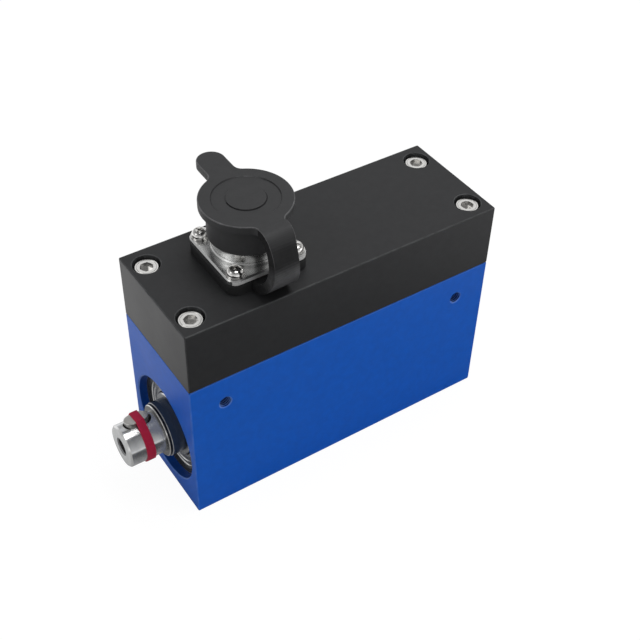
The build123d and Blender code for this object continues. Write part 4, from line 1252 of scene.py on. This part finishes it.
def makeFloor(v):
    deselectAll()
    bpy.ops.mesh.primitive_plane_add(size=6, location=(0, 0, -0.0001))
    floor = settle(bpy.context.object, "studioFloor")
    material = bpy.data.materials.new("paleFloor")
    material.use_nodes = True
    tree = material.node_tree
    shader = tree.nodes["Principled BSDF"]
    shader.inputs["Base Color"].default_value = (*v["colour"], 1)
    shader.inputs["Roughness"].default_value = v["roughness"]
    glow = tree.nodes.new("ShaderNodeEmission")
    path = tree.nodes.new("ShaderNodeLightPath")
    glossy, seen = path.outputs["Is Glossy Ray"], seenRays(tree, path)
    shown = addMath(tree, "MAXIMUM", addMath(tree, "MULTIPLY", seen, v["shownWhite"]), glossy)
    # a painted reflection: in glossy rays the floor glows pale behind the left end, dark in front, pale again
    # at the right, as the pieces mirror it
    across = addVector(tree, "DOT_PRODUCT", objectPlace(tree), v["across"], output="Value")
    left = addRange(tree, across, v["near"], v["far"], v["darkEnd"], v["paleEnd"])
    right = addRange(tree, across, v["rightTo"], v["rightFrom"], v["rightEnd"], 0.0)
    shine = addMath(tree, "MULTIPLY", glossy, addMath(tree, "MAXIMUM", left, right))
    tree.links.new(addMath(tree, "MULTIPLY_ADD", seen, v["white"], shine), glow.inputs["Strength"])
    mix = mixShaders(tree, shown, shader, glow)
    tree.links.new(mix.outputs[0], tree.nodes["Material Output"].inputs["Surface"])
    floor.data.materials.append(material)


worldLook = {"fill": 0.36, "low": 0.8, "high": 0.16, "upTo": 0.9}


def makeWorld(v):
    world = bpy.data.worlds.new("studio")
    bpy.context.scene.world = world
    world.use_nodes = True
    tree = world.node_tree
    soft = tree.nodes["Background"]
    soft.inputs["Color"].default_value = (1, 1, 1, 1)
    soft.inputs["Strength"].default_value = v["fill"]
    way = tree.nodes.new("ShaderNodeTexCoord").outputs["Generated"]
    up = addNode(tree, "SeparateXYZ", Vector=way).outputs["Z"]
    fade = addRange(tree, up, 0.0, v["upTo"], v["low"], v["high"])
    wall = addNode(tree, "Background", Strength=fade)  # what shiny pieces mirror: pale low down, dark overhead
    white = addNode(tree, "Background", Strength=1.0)
    path = tree.nodes.new("ShaderNodeLightPath")
    unseen = mixShaders(tree, path.outputs["Is Glossy Ray"], soft, wall)
    mix = mixShaders(tree, seenRays(tree, path), unseen, white)
    tree.links.new(mix.outputs[0], tree.nodes["World Output"].inputs["Surface"])


# each lamp's place, aim, size and power
lamps = {"topPanel": ((0.17, -0.055, 0.83), (0, 0, 0.04), (0.4, 0.45), 2.8),
         "backPanel": ((0.406, 0.601, 0.72), (0, 0, 0.04), (0.7, 0.6), 0.6),
         "rightPanel": ((0.9, -0.9, 0.12), (0, 0, 0.06), (0.4, 0.4), 2.2),
         "leftPanel": ((-0.9, 0.1, 0.4), (-0.05, 0, 0.04), (0.4, 0.4), 0.12),
         "wingPanel": ((-0.62, 0.15, 0.7), (-0.03, 0, 0.08), (0.42, 0.3), 0.45)}
makeCamera(view)
makeFloor(floorLook)
makeWorld(worldLook)
for name, values in lamps.items():
    makeLamp(name, *values)
bpy.context.scene.view_settings.view_transform = "Standard"
print("stage: studio")
